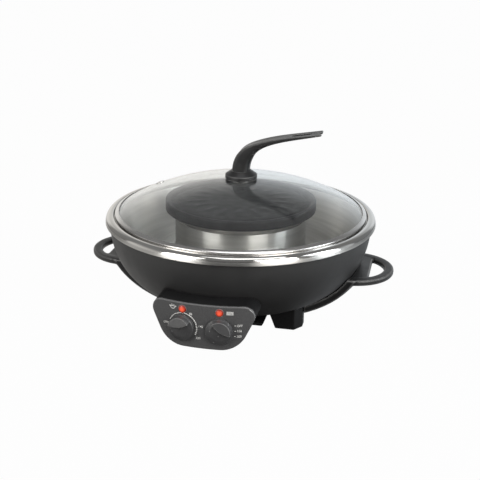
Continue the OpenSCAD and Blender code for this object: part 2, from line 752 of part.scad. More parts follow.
module shaft_nuts() color([0.75, 0.7, 0.55])
    for (a = [hotpot_angle, grill_angle]) at_panel(a, knob_z, face_r + 0.1) difference() {
        cylinder(r = 8, h = 2.4, $fn = 6);
        translate([0, 0, -1]) cylinder(r = bush_r + shaft_gap, h = 5, $fn = 48);
    }

module shaft(angle) at_panel(angle, knob_z, control_front_r - 3.5)
    cylinder(r = shaft_r, h = face_r - control_front_r + 11.7, $fn = 48);
module hotpot_shaft() color([0.8, 0.8, 0.8]) shaft(hotpot_angle);
module grill_shaft() color([0.8, 0.8, 0.8]) shaft(grill_angle);

// A knob: a low dome with a raised petal, whose curved edge is the grip. The petal is towards +y.
module knob_shape(petal_angle) rotate([0, 0, petal_angle]) difference() {
    union() {
        rotate_extrude() polygon(concat(
            [[0, 0], [knob_r - 0.4, 0], [knob_r, 0.6], [knob_r, 3.6]],
            arc([knob_r - 2.2, 3.6], 2.2, 0, 55, 3),
            [[knob_r - 6, 7.4], [0, 8.6]]
        ));
        intersection() {
            rotate_extrude() polygon([
                [0, 2], [knob_r - 0.6, 2], [knob_r - 1, 9], [knob_r - 2, knob_h - 0.8], [knob_r - 2.8, knob_h], [0, knob_h]
            ]);
            translate([0, petal_y + petal_r, 2]) cylinder(r1 = petal_r - 2.4, r2 = petal_r, h = knob_h, $fn = 180);
            translate([-20, petal_y, knob_h]) rotate([-petal_slope, 0, 0])
                translate([0, -10, -30]) cube([40, 40, 30]);
        }
    }
    translate([0, 0, -1]) difference() {
        cylinder(r = knob_r - 2.4, h = 4.6);
        cylinder(r = 6, h = 10, $fn = 48);
    }
    translate([0, 0, -1]) cylinder(r = 9.6, h = 3.6, $fn = 48);
    translate([0, 0, -1]) cylinder(r = shaft_r + 0.02, h = 8.6, $fn = 48);
}
module hotpot_knob() color([0.16, 0.16, 0.17])
    at_panel(hotpot_angle, knob_z, face_r + 1) knob_shape(10);
module grill_knob() color([0.16, 0.16, 0.17])
    at_panel(grill_angle, knob_z, face_r + 1) knob_shape(-33);

// Heaters. Each ring is open at the front, where its two ends run inwards and down.
module heater(ring_r, ring_z, leg_x, leg_y) {
    gap_angle = asin(leg_x / ring_r);
    start_y = -ring_r * cos(gap_angle);
    translate([0, 0, ring_z]) rotate([0, 0, gap_angle - 90])
        rotate_extrude(angle = 360 - 2 * gap_angle, $fn = 120) translate([ring_r, 0]) circle(r = tube_r, $fn = 32);
    for (x = [-leg_x, leg_x]) {
        translate([x, start_y, ring_z]) sphere(r = tube_r + elbow, $fn = 32);
        translate([x, start_y, ring_z]) rotate([-90, 0, 0])
            cylinder(r = tube_r, h = -leg_y - start_y, $fn = 32);
        translate([x, -leg_y, ring_z]) sphere(r = tube_r + elbow, $fn = 32);
        translate([x, -leg_y, leg_end_z]) cylinder(r = tube_r, h = ring_z - leg_end_z, $fn = 32);
    }
}

// A saddle post that carries a heater ring.
module saddle(ring_r, ring_z, from_z, r) difference() {
    union() {
        translate([ring_r, 0, from_z]) cylinder(r = r, h = ring_z - 6 - from_z, $fn = 32);
        translate([ring_r, 0, ring_z - 6.5]) cylinder(r = 7, h = 5.8, $fn = 32);
    }
    translate([0, 0, ring_z]) rotate_extrude($fn = 120)
        translate([ring_r, 0]) circle(r = tube_r + seat_gap, $fn = 32);
}

module hotpot_heater() color([0.35, 0.33, 0.32])
    heater(hotpot_ring_r, hotpot_ring_z, hotpot_leg_x, hotpot_leg_y);

module heater_posts() color([0.65, 0.65, 0.65]) difference() {
    for (a = post_angles) rotate([0, 0, a]) {
        saddle(hotpot_ring_r, hotpot_ring_z, reflector_z - 1, post_r);
        translate([hotpot_ring_r, 0, bottom_z]) cylinder(r = 6, h = reflector_z - bottom_z - 0.1, $fn = 32);
    }
    bowl_floor();
}

// The bowl's solid with everything below it, cut from what stands on its inner face.
module bowl_floor() rotate_extrude($fn = 180)
    polygon(concat(
        shifted(bowl_line, bowl_t + 0.1), [[0, bottom_z + bowl_t], [0, 0], [rim_r, 0], [rim_r, bowl_top_z]]
    ));

module heat_reflector() color([0.8, 0.8, 0.82]) difference() {
    rotate_extrude($fn = 120) polygon([
        [66, reflector_z], [146, reflector_z], [152, reflector_z + 6],
        [151.2, reflector_z + 6.8], [145.6, reflector_z + reflector_t], [66, reflector_z + reflector_t]
    ]);
    ring_of(hotpot_ring_r, post_angles) cylinder(r = post_r + seat_gap, h = 100, $fn = 32);
}

module thermostat_bulb() color([0.75, 0.55, 0.35])
    translate([bulb_x, -18, hotpot_ring_z]) rotate([-90, 0, 0]) cylinder(r = bulb_r, h = 36, $fn = 32);

module bulb_clip() color([0.65, 0.65, 0.65]) difference() {
    translate([bulb_x - 5, -6, reflector_z + reflector_t]) cube([10, 12, hotpot_ring_z - reflector_z - 1.5]);
    translate([bulb_x, -20, hotpot_ring_z]) rotate([-90, 0, 0]) cylinder(r = bulb_r + shaft_gap, h = 40, $fn = 32);
}

module capillary_tube() color([0.75, 0.55, 0.35])
    wire([
        [bulb_x, -18.6, hotpot_ring_z], [bulb_x - 6, -34, hotpot_ring_z], [capillary_x + 4, capillary_y + 2, 66],
        [capillary_x, capillary_y, 50], [capillary_x, capillary_y, high_wire_z],
        [8.5, -68, high_wire_z], [8.5, -123, high_wire_z], [8.5, -123, floor_wire_z], [8.5, -150, 37],
        [-20, -182, 35.5], [-20, -182, thermostat_wire_z]
    ], capillary_r);

// Grill heater on its column.
module grill_column() color([0.7, 0.7, 0.72]) translate([0, 0, bottom_z + bowl_t]) difference() {
    union() {
        cylinder(r = column_r, h = column_top_z - bottom_z - bowl_t);
        cylinder(r = column_r + 6, h = 1.5);
    }
    translate([0, 0, -1]) cylinder(r = column_r - column_t, h = 200);
}

module grill_reflector() color([0.8, 0.8, 0.82]) difference() {
    rotate_extrude($fn = 120) polygon([
        [0, column_top_z], [78, column_top_z], [dish_r, column_top_z + 10],
        [dish_r - 1, column_top_z + 10.6], [77.4, column_top_z + dish_t], [0, column_top_z + dish_t]
    ]);
    for (x = [-grill_leg_x, grill_leg_x])
        translate([x, -grill_leg_y, 100]) cylinder(r = leg_hole_r, h = 60, $fn = 32);
}

module grill_heater() color([0.35, 0.33, 0.32]) heater(grill_ring_r, grill_ring_z, grill_leg_x, grill_leg_y);

module grill_heater_posts() color([0.65, 0.65, 0.65])
    for (a = post_angles) rotate([0, 0, a])
        saddle(grill_ring_r, grill_ring_z, column_top_z + dish_t, post_r);

// Electrical parts in the base.
module terminal_block() color([0.9, 0.9, 0.88]) translate([-block_size[0] / 2, block_y, block_z]) difference() {
    cube(block_size);
    for (i = [0:3]) translate([4.5 + 9 * i, 8, 3]) cylinder(r = 2, h = 10, $fn = 32);
}

module thermal_fuse() color([0.85, 0.85, 0.85])
    translate([fuse_x, -2, gland_z]) rotate([-90, 0, 0]) cylinder(r = 2.5, h = 20, $fn = 32);

module earth_screw() color([0.75, 0.7, 0.55]) translate([earth_x, earth_x, 0]) {
    translate([0, 0, bottom_z - 3.2]) cylinder(r = m4_head_r, h = 3, $fn = 32);
    translate([0, 0, bottom_z - 0.2]) cylinder(r = m4_r, h = 7, $fn = 32);
}

module heater_leads() color([0.8, 0.1, 0.1]) {
    end_y = block_y - 0.1;
    for (s = [-1, 1]) {
        wire([[s * hotpot_leg_x, -hotpot_leg_y, leg_end_z - 0.1], [s * hotpot_leg_x, -hotpot_leg_y, low_wire_z],
            [s * 17.5, -45, low_wire_z], [s * 16, end_y, low_wire_z]], wire_r);
        wire([[s * grill_leg_x, -grill_leg_y, leg_end_z - 0.1], [s * grill_leg_x, -grill_leg_y, low_wire_z],
            [s * 9, end_y, low_wire_z]], wire_r);
    }
}

module control_leads() color([0.15, 0.3, 0.7])
    for (i = [0:3]) let (
        x = -4.5 + 3 * i,
        from = i < 2 ? [-29 + 5 * i, -186, thermostat_wire_z] : [8 + 5 * i, -188, switch_wire_z]
    )
        wire([
            from, [from[0], from[1], floor_wire_z], [x, -123, floor_wire_z], [x, -123, high_wire_z],
            [x, block_y - 0.1, high_wire_z]
        ], wire_r);

module supply_leads() color([0.5, 0.35, 0.2]) {
    rear_y = block_y + block_size[1] + 0.1;
    wire([[0, 65.5, gland_z], [0, rear_y, gland_z]], wire_r);
    wire([[-2.1, 65.5, gland_z + 1.4], [-6, 56, gland_z], [fuse_x, 40, gland_z], [fuse_x, 18.1, gland_z]], wire_r);
    wire([[fuse_x, -2.1, gland_z], [fuse_x, -8, gland_z], [-23, -12, gland_z], [-21.5, 14, gland_z],
        [-19.3, 18, gland_z]], wire_r);
    wire([[2.1, 65.5, gland_z + 1.4], [6, 56, gland_z], [earth_x, earth_x + 10, gland_z],
        [earth_x, earth_x + 5, 22]], wire_r);
}

module placed() translate([0, axis_y, 0]) children();

placed() outer_bowl();
placed() pot_liner();
placed() grill_plate();
placed() lid_glass();
placed() lid_rim();
placed() vent_grommet();
placed() lid_washer();
placed() clamp_disc();
placed() handle_screw();
placed() handle_collar();
placed() lid_handle();
placed() left_handle();
placed() right_handle();
placed() handle_screws();
placed() base_frame();
placed() base_cover();
placed() feet();
placed() foot_pads();
placed() frame_screws();
placed() foot_screws();
placed() cover_screws();
placed() cord_gland();
placed() control_housing();
placed() control_face();
placed() face_screws();
placed() hotpot_lamp();
placed() grill_lamp();
placed() neon_lamps();
placed() hotpot_thermostat();
placed() grill_switch();
placed() shaft_nuts();
placed() hotpot_knob();
placed() hotpot_shaft();
placed() grill_knob();
placed() grill_shaft();
placed() hotpot_heater();
placed() heater_posts();
placed() heat_reflector();
placed() thermostat_bulb();
placed() bulb_clip();
placed() capillary_tube();
placed() grill_column();
placed() grill_reflector();
placed() grill_heater();
placed() grill_heater_posts();
placed() terminal_block();
placed() thermal_fuse();
placed() earth_screw();
placed() heater_leads();
placed() control_leads();
placed() supply_leads();
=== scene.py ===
# %% [markdown]
# # An electric hot pot with a grill plate under a glass lid
#
# A ring-shaped stainless pot hangs in a dark coated bowl. A cast grill plate rests on the pot's
# central chimney, and a loose glass lid covers both. The CAD model is loaded as a fixed frame, in
# metres. This script gives each piece the shape and the finish that show from close by, and the
# large round pieces are turned about one line: the pot's own upright axis.

import json
import math

import bmesh
import bpy
from mathutils import Matrix, Vector


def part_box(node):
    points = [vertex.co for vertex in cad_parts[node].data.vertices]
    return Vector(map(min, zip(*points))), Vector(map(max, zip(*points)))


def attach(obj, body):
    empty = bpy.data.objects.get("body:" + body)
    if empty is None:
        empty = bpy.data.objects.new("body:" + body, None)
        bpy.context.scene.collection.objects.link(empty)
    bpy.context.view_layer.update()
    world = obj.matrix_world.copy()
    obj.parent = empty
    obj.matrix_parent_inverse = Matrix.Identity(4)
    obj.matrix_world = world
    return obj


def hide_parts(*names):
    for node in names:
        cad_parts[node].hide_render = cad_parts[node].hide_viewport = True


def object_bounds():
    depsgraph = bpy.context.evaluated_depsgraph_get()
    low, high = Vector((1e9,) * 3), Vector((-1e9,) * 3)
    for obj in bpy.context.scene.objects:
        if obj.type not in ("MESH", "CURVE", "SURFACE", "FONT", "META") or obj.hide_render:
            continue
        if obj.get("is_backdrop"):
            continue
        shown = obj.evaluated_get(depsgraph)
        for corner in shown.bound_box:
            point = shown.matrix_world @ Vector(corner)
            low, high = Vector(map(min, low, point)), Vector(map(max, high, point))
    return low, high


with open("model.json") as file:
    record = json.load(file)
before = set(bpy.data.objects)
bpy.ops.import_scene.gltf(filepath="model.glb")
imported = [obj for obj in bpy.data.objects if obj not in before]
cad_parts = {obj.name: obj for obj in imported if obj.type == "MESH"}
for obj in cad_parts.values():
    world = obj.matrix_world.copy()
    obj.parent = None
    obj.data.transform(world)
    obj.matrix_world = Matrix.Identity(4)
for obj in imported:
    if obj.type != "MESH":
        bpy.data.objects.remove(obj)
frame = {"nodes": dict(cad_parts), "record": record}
cad_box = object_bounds()
nodes = frame["nodes"]
scene = bpy.context.scene
MM = 0.001
pot_low, pot_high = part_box("pot_liner")
axis_y = (pot_low.y + pot_high.y) / 2
pot_axis = Matrix.Translation((0, axis_y, 0))
for plain in bpy.data.materials:
    plain.name = "cad_" + plain.name
print(f"{len(nodes)} CAD nodes, pot axis at y = {axis_y / MM:.2f} mm")

# %% [markdown]
# ## The camera
#
# The photograph was taken from a little to the right and from above, with a long lens, so the
# ellipses of the rims stay flat. The camera stands on a line from the middle of the bowl, and it is
# rolled by less than a degree because the pot stands slightly out of true in the picture. The lens
# is long enough for the pot to fill the frame from there as it does in the picture.

# %% The camera
CAMERA_AZIMUTH = math.radians(12)
CAMERA_ELEVATION = math.radians(20)
CAMERA_ROLL = math.radians(0.7)
CAMERA_DISTANCE = 1.4
LENS = 73.4
LOOK_AT_X = -0.6 * MM
LOOK_AT_Z = 99 * MM
look_at = Vector((LOOK_AT_X, axis_y, LOOK_AT_Z))
backwards = Vector((
    math.sin(CAMERA_AZIMUTH) * math.cos(CAMERA_ELEVATION),
    -math.cos(CAMERA_AZIMUTH) * math.cos(CAMERA_ELEVATION),
    math.sin(CAMERA_ELEVATION),
))
camera = bpy.data.objects.new("camera", bpy.data.cameras.new("camera"))
scene.collection.objects.link(camera)
camera.data.lens = LENS
camera.location = look_at + CAMERA_DISTANCE * backwards
aim = (-backwards).to_track_quat("-Z", "Y").to_matrix()
camera.rotation_euler = (aim @ Matrix.Rotation(CAMERA_ROLL, 3, "Z")).to_euler()
scene.camera = camera
scene.view_settings.view_transform = "Standard"
print("camera at", [round(v, 3) for v in camera.location])

# %% [markdown]
# ## The studio
#
# The picture is a cut-out on white, yet the steel in it is mostly dark with a few white stripes.
# Polished metal has no colour of its own: it shows the room. So the world has three faces. The
# camera sees plain white, also through the glass. Light that falls on the pot comes from an even
# sky. A mirror sees a dim room with pale screens standing round the table. Each screen becomes one
# stripe on the chimney and one bright stretch of the rim, because a turned shape shows every
# heading once.

# %% The room's shades
AMBIENT = 0.16
UPPER_ROOM = 0.25
WALLS_END = 0.25
CEILING_STARTS = 0.6
TINT_CHANGES_AT = 60
WARM = (1, 0.985, 0.955)
COOL = (0.93, 0.97, 1)
ROOM = [
    (-180, 1), (-146, 1), (-136, 0.3), (-108, 0.22), (-103, 0.75), (-95, 0.75), (-72, 0.6), (-66, 1),
    (-34, 1), (-27, 0.14), (8, 0.1), (14, 1), (48, 1), (54, 0.35), (58, 0.35), (62, 0.95), (88, 0.95),
    (94, 0.7), (103, 0.7), (108, 0.22), (136, 0.3), (146, 1), (180, 1),
]
NEAR_TABLE = [
    (-180, 0.9), (-110, 0.8), (-65, 0.55), (-38, 0.08), (38, 0.05), (65, 0.45), (100, 0.8), (180, 0.9),
]


def wired(tree, kind, *inputs, **settings):
    """A node of that kind whose first inputs are given as values or as other nodes' outputs."""
    node = tree.nodes.new("ShaderNode" + kind)
    for name, value in settings.items():
        setattr(node, name, value)
    for socket, given in zip(node.inputs, inputs):
        if isinstance(given, bpy.types.NodeSocket):
            tree.links.new(given, socket)
        else:
            socket.default_value = given
    return node


def heading_shade(tree, direction, shades):
    """The colour that way from the pot. Headings count from the camera, in degrees."""
    parts = wired(tree, "SeparateXYZ", direction).outputs
    forward = wired(tree, "Math", parts["Y"], -1, operation="MULTIPLY").outputs[0]
    heading = wired(tree, "Math", parts["X"], forward, operation="ARCTAN2").outputs[0]
    off_camera = wired(tree, "Math", heading, CAMERA_AZIMUTH, operation="SUBTRACT").outputs[0]
    whole = wired(tree, "Math", off_camera, math.pi, -math.pi, operation="WRAP").outputs[0]
    share = wired(tree, "MapRange", whole, -math.pi, math.pi, 0, 1).outputs[0]
    ramp = wired(tree, "ValToRGB", share)
    stops = ramp.color_ramp.elements
    stops[1].position = 1
    for angle, _ in shades[1:-1]:
        stops.new(0.5 + angle / 360)
    for stop, (angle, shade) in zip(stops, shades):
        tint = COOL if angle > TINT_CHANGES_AT else WARM
        stop.color = (*(shade * part for part in tint), 1)
    return ramp.outputs["Color"]


def ray_kinds(tree):
    """Two switches: 1 for what the camera sees itself or through glass, and 1 for what mirrors see."""
    path = wired(tree, "LightPath").outputs
    seen = wired(tree, "Math", path["Is Camera Ray"], path["Is Transmission Ray"], operation="MAXIMUM")
    bounces = wired(tree, "Math", path["Is Glossy Ray"], path["Glossy Depth"], operation="MAXIMUM")
    bounced = wired(tree, "Math", bounces.outputs[0], 1, operation="MINIMUM")
    return seen.outputs[0], bounced.outputs[0]


# %% The world
scene.world = bpy.data.worlds.new("studio")
scene.world.use_nodes = True
sky = scene.world.node_tree
direction = wired(sky, "TexCoord").outputs["Generated"]
steepness = wired(sky, "SeparateXYZ", direction).outputs["Z"]
upper = wired(sky, "MapRange", steepness, WALLS_END, CEILING_STARTS, 0, 1).outputs[0]
walls = wired(sky, "Background", heading_shade(sky, direction, ROOM), 1).outputs[0]
ceiling = wired(sky, "Background", (UPPER_ROOM, UPPER_ROOM, UPPER_ROOM, 1), 1).outputs[0]
room = wired(sky, "MixShader", upper, walls, ceiling).outputs[0]
looked_at, mirrored = ray_kinds(sky)
light = wired(sky, "Background", (1, 1, 1, 1), AMBIENT).outputs[0]
white = wired(sky, "Background", (1, 1, 1, 1), 1).outputs[0]
plain_view = wired(sky, "MixShader", looked_at, light, white).outputs[0]
whole_view = wired(sky, "MixShader", mirrored, plain_view, room).outputs[0]
sky.links.new(whole_view, sky.nodes["World Output"].inputs["Surface"])
print("world:", len(ROOM), "shades round the pot, ambient", AMBIENT)

# %% [markdown]
# The floor is a matt white sheet. The camera sees it almost as white as the world behind it, with
# the pot's shadow left faintly on it. Its paper is grey underneath, so that little light comes up
# from it. In a mirror it carries the shades of the room further out. Near the pot it is dark in
# front and lighter at the sides and behind.

# %% The floor
FLOOR_HALF = 7
PAPER_GREY = 0.22
FLOOR_OWN_WHITE = 0.98
NEAR_TABLE_ENDS = 0.4
ROOM_STARTS = 0.8
FLOOR_IN_MIRRORS = 0.9
floor_mesh = bpy.data.meshes.new("floor")
floor_corners = [(x * FLOOR_HALF, y * FLOOR_HALF, 0) for x, y in ((-1, -1), (1, -1), (1, 1), (-1, 1))]
floor_mesh.from_pydata(floor_corners, [], [(0, 1, 2, 3)])
floor = bpy.data.objects.new("floor", floor_mesh)
scene.collection.objects.link(floor)
paper = bpy.data.materials.new("paper")
paper.use_nodes = True
sheet = paper.node_tree
matt = sheet.nodes["Principled BSDF"]
matt.inputs["Base Color"].default_value = (PAPER_GREY, PAPER_GREY, PAPER_GREY, 1)
matt.inputs["Roughness"].default_value = 0.9
matt.inputs["Specular IOR Level"].default_value = 0.1
looked_at, mirrored = ray_kinds(sheet)
own = wired(sheet, "Emission", (1, 1, 1, 1), 1).outputs[0]
share = wired(sheet, "Math", looked_at, FLOOR_OWN_WHITE, operation="MULTIPLY").outputs[0]
plain_view = wired(sheet, "MixShader", share, matt.outputs[0], own).outputs[0]
place = wired(sheet, "TexCoord").outputs["Object"]
away = wired(sheet, "VectorMath", place, operation="LENGTH").outputs["Value"]
far = wired(sheet, "MapRange", away, NEAR_TABLE_ENDS, ROOM_STARTS, 0, 1).outputs[0]
near_shade = heading_shade(sheet, place, NEAR_TABLE)
far_shade = heading_shade(sheet, place, ROOM)
table_shade = wired(sheet, "MixRGB", far, near_shade, far_shade).outputs[0]
in_mirrors = wired(sheet, "Emission", table_shade, FLOOR_IN_MIRRORS).outputs[0]
whole_view = wired(sheet, "MixShader", mirrored, plain_view, in_mirrors).outputs[0]
sheet.links.new(whole_view, sheet.nodes["Material Output"].inputs["Surface"])
floor_mesh.materials.append(paper)
floor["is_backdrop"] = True
print("floor:", 2 * FLOOR_HALF, "m across")

# %% [markdown]
# Three broad soft boxes stand where the room's pale screens are and burn their stripes in the steel
# to white. A wide one overhead lights the plate and the handles.

# %% The lamps
SCREEN_DISTANCE = 1.5
SCREEN_Z = 0.85
SCREEN_TALL = 1.3


def soft_box(name, heading, distance, height, size, power, colour=(1, 1, 1)):
    """A rectangular lamp aimed at the pot, in metres and watts, headed as the room's shades are."""
    light = bpy.data.lights.new(name, "AREA")
    light.shape = "RECTANGLE"
    light.size, light.size_y = size
    light.energy = power
    light.color = colour
    lamp = bpy.data.objects.new(name, light)
    scene.collection.objects.link(lamp)
    a = CAMERA_AZIMUTH + math.radians(heading)
    lamp.location = (distance * math.sin(a), axis_y - distance * math.cos(a), height)
    lamp.rotation_euler = (look_at - lamp.location).to_track_quat("-Z", "Y").to_euler()
    print(f"{name}: {power} W, {heading} degrees off the camera")


soft_box("left_screen", -50, SCREEN_DISTANCE, SCREEN_Z, (0.8, SCREEN_TALL), 17, WARM)
soft_box("right_screen", 31, SCREEN_DISTANCE, SCREEN_Z, (0.85, SCREEN_TALL), 18, WARM)
soft_box("side_screen", 74, SCREEN_DISTANCE, SCREEN_Z, (0.6, SCREEN_TALL), 13, COOL)
soft_box("top_box", 20, 0.3, 1.9, (1.2, 0.9), 8)

# %% [markdown]
# ## Ways of making a mesh
#
# A turned piece starts as its outline: a list of (radius, height) points in millimetres. Straight
# runs are listed and curves come from the same control points as the construction. The outline is
# then spun about the axis in small steps, which gives tidy rows of quads for the bevels.

# %% Lines for an outline
def bezier(control, steps):
    """Points along a cubic curve through four (radius, height) control points."""
    line = []
    for i in range(steps + 1):
        t = i / steps
        u = 1 - t
        share = (u * u * u, 3 * u * u * t, 3 * u * t * t, t * t * t)
        line.append(tuple(sum(s * p[k] for s, p in zip(share, control)) for k in (0, 1)))
    return line


def arc(centre, radius, start, end, steps):
    """Points on a circle from one angle to another, in degrees."""
    angles = [math.radians(start + (end - start) * i / steps) for i in range(steps + 1)]
    return [(centre[0] + radius * math.cos(a), centre[1] + radius * math.sin(a)) for a in angles]


def shifted(line, distance):
    """The same line moved sideways, as the other face of a sheet of that thickness."""
    moved = []
    for i, (r, z) in enumerate(line):
        before = line[max(i - 1, 0)]
        after = line[min(i + 1, len(line) - 1)]
        along = Vector((after[0] - before[0], after[1] - before[1])).normalized()
        moved.append((r + distance * along.y, z - distance * along.x))
    return moved


# %% Turning, shading and settling
def add_piece(name, mesh):
    """A new object in the scene that holds the mesh."""
    piece = bpy.data.objects.new(name, mesh)
    scene.collection.objects.link(piece)
    return piece


def shade(piece, angle=35):
    """Smooth faces with a crease wherever two of them meet at more than the angle."""
    for face in piece.data.polygons:
        face.use_smooth = True
    piece.data.set_sharp_from_angle(angle=math.radians(angle))


def turned(name, outline, steps=256, place=pot_axis):
    """Spins a closed outline in mm about the place's z. One that starts and ends on the axis is open."""
    shape = bmesh.new()
    points = [shape.verts.new((r * MM, 0, z * MM)) for r, z in outline]
    pairs = list(zip(points, points[1:]))
    if outline[0][0] > 0:
        pairs.append((points[-1], points[0]))
    edges = [shape.edges.new(pair) for pair in pairs]
    bmesh.ops.spin(
        shape,
        geom=points + edges,
        cent=(0, 0, 0),
        axis=(0, 0, 1),
        angle=2 * math.pi,
        steps=steps,
        use_merge=True,
    )
    bmesh.ops.remove_doubles(shape, verts=shape.verts, dist=0.001 * MM)
    bmesh.ops.recalc_face_normals(shape, faces=shape.faces)
    mesh = bpy.data.meshes.new(name)
    shape.to_mesh(mesh)
    shape.free()
    piece = add_piece(name, mesh)
    piece.matrix_world = place
    shade(piece)
    return piece


def settle(piece):
    """Turns the piece's modifiers into plain mesh."""
    graph = bpy.context.evaluated_depsgraph_get()
    made = bpy.data.meshes.new_from_object(piece.evaluated_get(graph))
    piece.modifiers.clear()
    piece.data = made


def eased(piece, width, angle=30, rows=3):
    """Rounds edges sharper than the angle to about the width in mm, as a tool or a mould leaves them."""
    bevel = piece.modifiers.new("edges", "BEVEL")
    bevel.width = width * MM
    bevel.segments = rows
    bevel.limit_method = "ANGLE"
    bevel.angle_limit = math.radians(angle)
    bevel.use_clamp_overlap = True
    settle(piece)
    shade(piece, 40)


# %% [markdown]
# Moulded plastic has no sharp edge anywhere. For pieces that aren't round, the quickest honest way
# is to wrap the whole shape in a fine skin of equal voxels and let that skin relax a little. Flat
# faces stay flat and every edge gets the same small radius. Holes are cut before, with solid bars.

# %% Skinning, cutting and dressing
def skinned(piece, voxel, rounds):
    """Wraps the piece in a voxel skin of that size in mm and smooths it that many times."""
    skin = piece.modifiers.new("skin", "REMESH")
    skin.mode = "VOXEL"
    skin.voxel_size = voxel * MM
    relax = piece.modifiers.new("relax", "SMOOTH")
    relax.factor = 0.5
    relax.iterations = rounds
    settle(piece)
    shade(piece, 180)
    return piece


def moulded(name, node, voxel, rounds):
    """A softened copy of a CAD node."""
    return skinned(add_piece(name, nodes[node].data.copy()), voxel, rounds)


def cut(piece, cutters, how="DIFFERENCE"):
    """Cuts each solid out of the piece, or adds it."""
    for cutter in cutters:
        knife = piece.modifiers.new("cut", "BOOLEAN")
        knife.operation = how
        knife.object = cutter
        settle(piece)
        bpy.data.objects.remove(cutter)


def bar(radius, bottom, top, place, steps=48):
    """A round bar in mm along the place's z, to cut with or to add."""
    return turned("bar", [(0, bottom), (radius, bottom), (radius, top), (0, top)], steps, place)


def dressed(piece, finish, body, *stands_for):
    """Gives the piece its finish, lets it ride on its body and hides the CAD nodes that it stands for."""
    piece.data.materials.clear()
    piece.data.materials.append(finish)
    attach(piece, body)
    if stands_for:
        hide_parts(*stands_for)
    print(f"{piece.name}: {len(piece.data.polygons)} faces of {finish.name} on {body}")
    return piece


# %% [markdown]
# ## Ways of making a finish
#
# Every finish is one Principled shader. Colour, roughness and relief vary with noise that is fixed
# to the piece in metres, so a scale of 1000 means grains of a millimetre. The helpers below each
# hang one such layer on the shader.

# %% Layers of a finish
def shader_of(finish):
    """The finish's one shader."""
    return finish.node_tree.nodes["Principled BSDF"]


def finish_of(name, colour, roughness, metallic=0.0, **plain):
    """A material with one Principled shader whose other plain values are given by name."""
    finish = bpy.data.materials.new(name)
    finish.use_nodes = True
    shader = shader_of(finish)
    shader.inputs["Base Color"].default_value = (*colour, 1)
    shader.inputs["Roughness"].default_value = roughness
    shader.inputs["Metallic"].default_value = metallic
    for socket, value in plain.items():
        shader.inputs[socket.replace("_", " ")].default_value = value
    print(f"finish {name}: colour {colour}, roughness {roughness}, metallic {metallic}")
    return finish


def noise(finish, scale, detail=2.0, vector=None):
    """The value of a noise texture in the piece's own space, with `scale` coarse grains a metre."""
    tree = finish.node_tree
    if vector is None:
        vector = wired(tree, "TexCoord").outputs["Object"]
    texture = wired(tree, "TexNoise", vector)
    texture.inputs["Scale"].default_value = scale
    texture.inputs["Detail"].default_value = detail
    return texture.outputs["Fac"]


NOISE_LOW = 0.3
NOISE_HIGH = 0.7


def colours_between(finish, value, start, low, end, high):
    """A colour that goes from low to high as the value goes from start to end."""
    ramp = wired(finish.node_tree, "ValToRGB", value)
    first, last = ramp.color_ramp.elements
    first.position = start
    first.color = (*low, 1)
    last.position = end
    last.color = (*high, 1)
    return ramp.outputs["Color"]


def tinted(finish, value, low, high):
    """Base colour between two colours as a noise goes from low to high."""
    colour = colours_between(finish, value, NOISE_LOW, low, NOISE_HIGH, high)
    finish.node_tree.links.new(colour, shader_of(finish).inputs["Base Color"])


def roughened(finish, value, low, high):
    """Roughness between two values as a noise goes from low to high. Returns it too."""
    tree = finish.node_tree
    spread = wired(tree, "MapRange", value, NOISE_LOW, NOISE_HIGH, low, high).outputs["Result"]
    tree.links.new(spread, shader_of(finish).inputs["Roughness"])
    return spread


def relief(finish, value, depth):
    """Bumps of that depth in mm. A second call lies on top of the first."""
    tree = finish.node_tree
    bump = wired(tree, "Bump")
    bump.inputs["Distance"].default_value = depth * MM
    tree.links.new(value, bump.inputs["Height"])
    normal = shader_of(finish).inputs["Normal"]
    if normal.is_linked:
        tree.links.new(normal.links[0].from_socket, bump.inputs["Normal"])
    tree.links.new(bump.outputs["Normal"], normal)


# %% Painted highlights on edges and painted shade in creases
CREASE_SHADE_STARTS = 0.485
CREASE_SHADE_FULL = 0.44


def paint_edge_highlight_crease_shade(finish, edge, crease=None, start=0.515, end=0.56):
    """Paints a highlight on convex edges, lightening them, and painted shade into creases. A flat face
    bends by 0.5.
    """
    tree = finish.node_tree
    bend = wired(tree, "NewGeometry").outputs["Pointiness"]
    base = shader_of(finish).inputs["Base Color"]
    # Convex edges are painted lighter as a painted highlight, and creases darker as painted shade.
    on_edge = wired(tree, "MapRange", bend, start, end, 0, 1).outputs[0]
    tone = wired(tree, "MixRGB", on_edge, base.links[0].from_socket, (edge, edge, edge, 1)).outputs[0]
    if crease is not None:
        in_crease = wired(tree, "MapRange", bend, CREASE_SHADE_STARTS, CREASE_SHADE_FULL, 0, 1).outputs[0]
        tone = wired(tree, "MixRGB", in_crease, tone, (crease, crease, crease, 1)).outputs[0]
    tree.links.new(tone, base)
    print(f"{finish.name}: edges towards {edge}, creases towards {crease}")


# %% [markdown]
# Brushed steel needs scratches that run round the pot. A noise is stretched by giving it the
# direction from the axis, which changes slowly, and the height plus radius, which changes fast. The
# shader's own anisotropy then smears the reflections across the scratches.

# %% Coordinates that run round the axis
def round_the_axis(finish, lines):
    """A vector that changes fast across turned scratches, `lines` a metre, and slowly along them."""
    tree = finish.node_tree
    place = wired(tree, "TexCoord").outputs["Object"]
    height = wired(tree, "SeparateXYZ", place).outputs["Z"]
    flat = wired(tree, "VectorMath", place, (1, 1, 0), operation="MULTIPLY").outputs["Vector"]
    radius = wired(tree, "VectorMath", flat, operation="LENGTH").outputs["Value"]
    turn = wired(tree, "VectorMath", flat, operation="NORMALIZE").outputs["Vector"]
    turn_parts = wired(tree, "SeparateXYZ", turn).outputs
    across = wired(tree, "Math", radius, height, operation="ADD").outputs[0]
    dense = wired(tree, "Math", across, lines, operation="MULTIPLY").outputs[0]
    return wired(tree, "CombineXYZ", turn_parts["X"], turn_parts["Y"], dense).outputs[0]


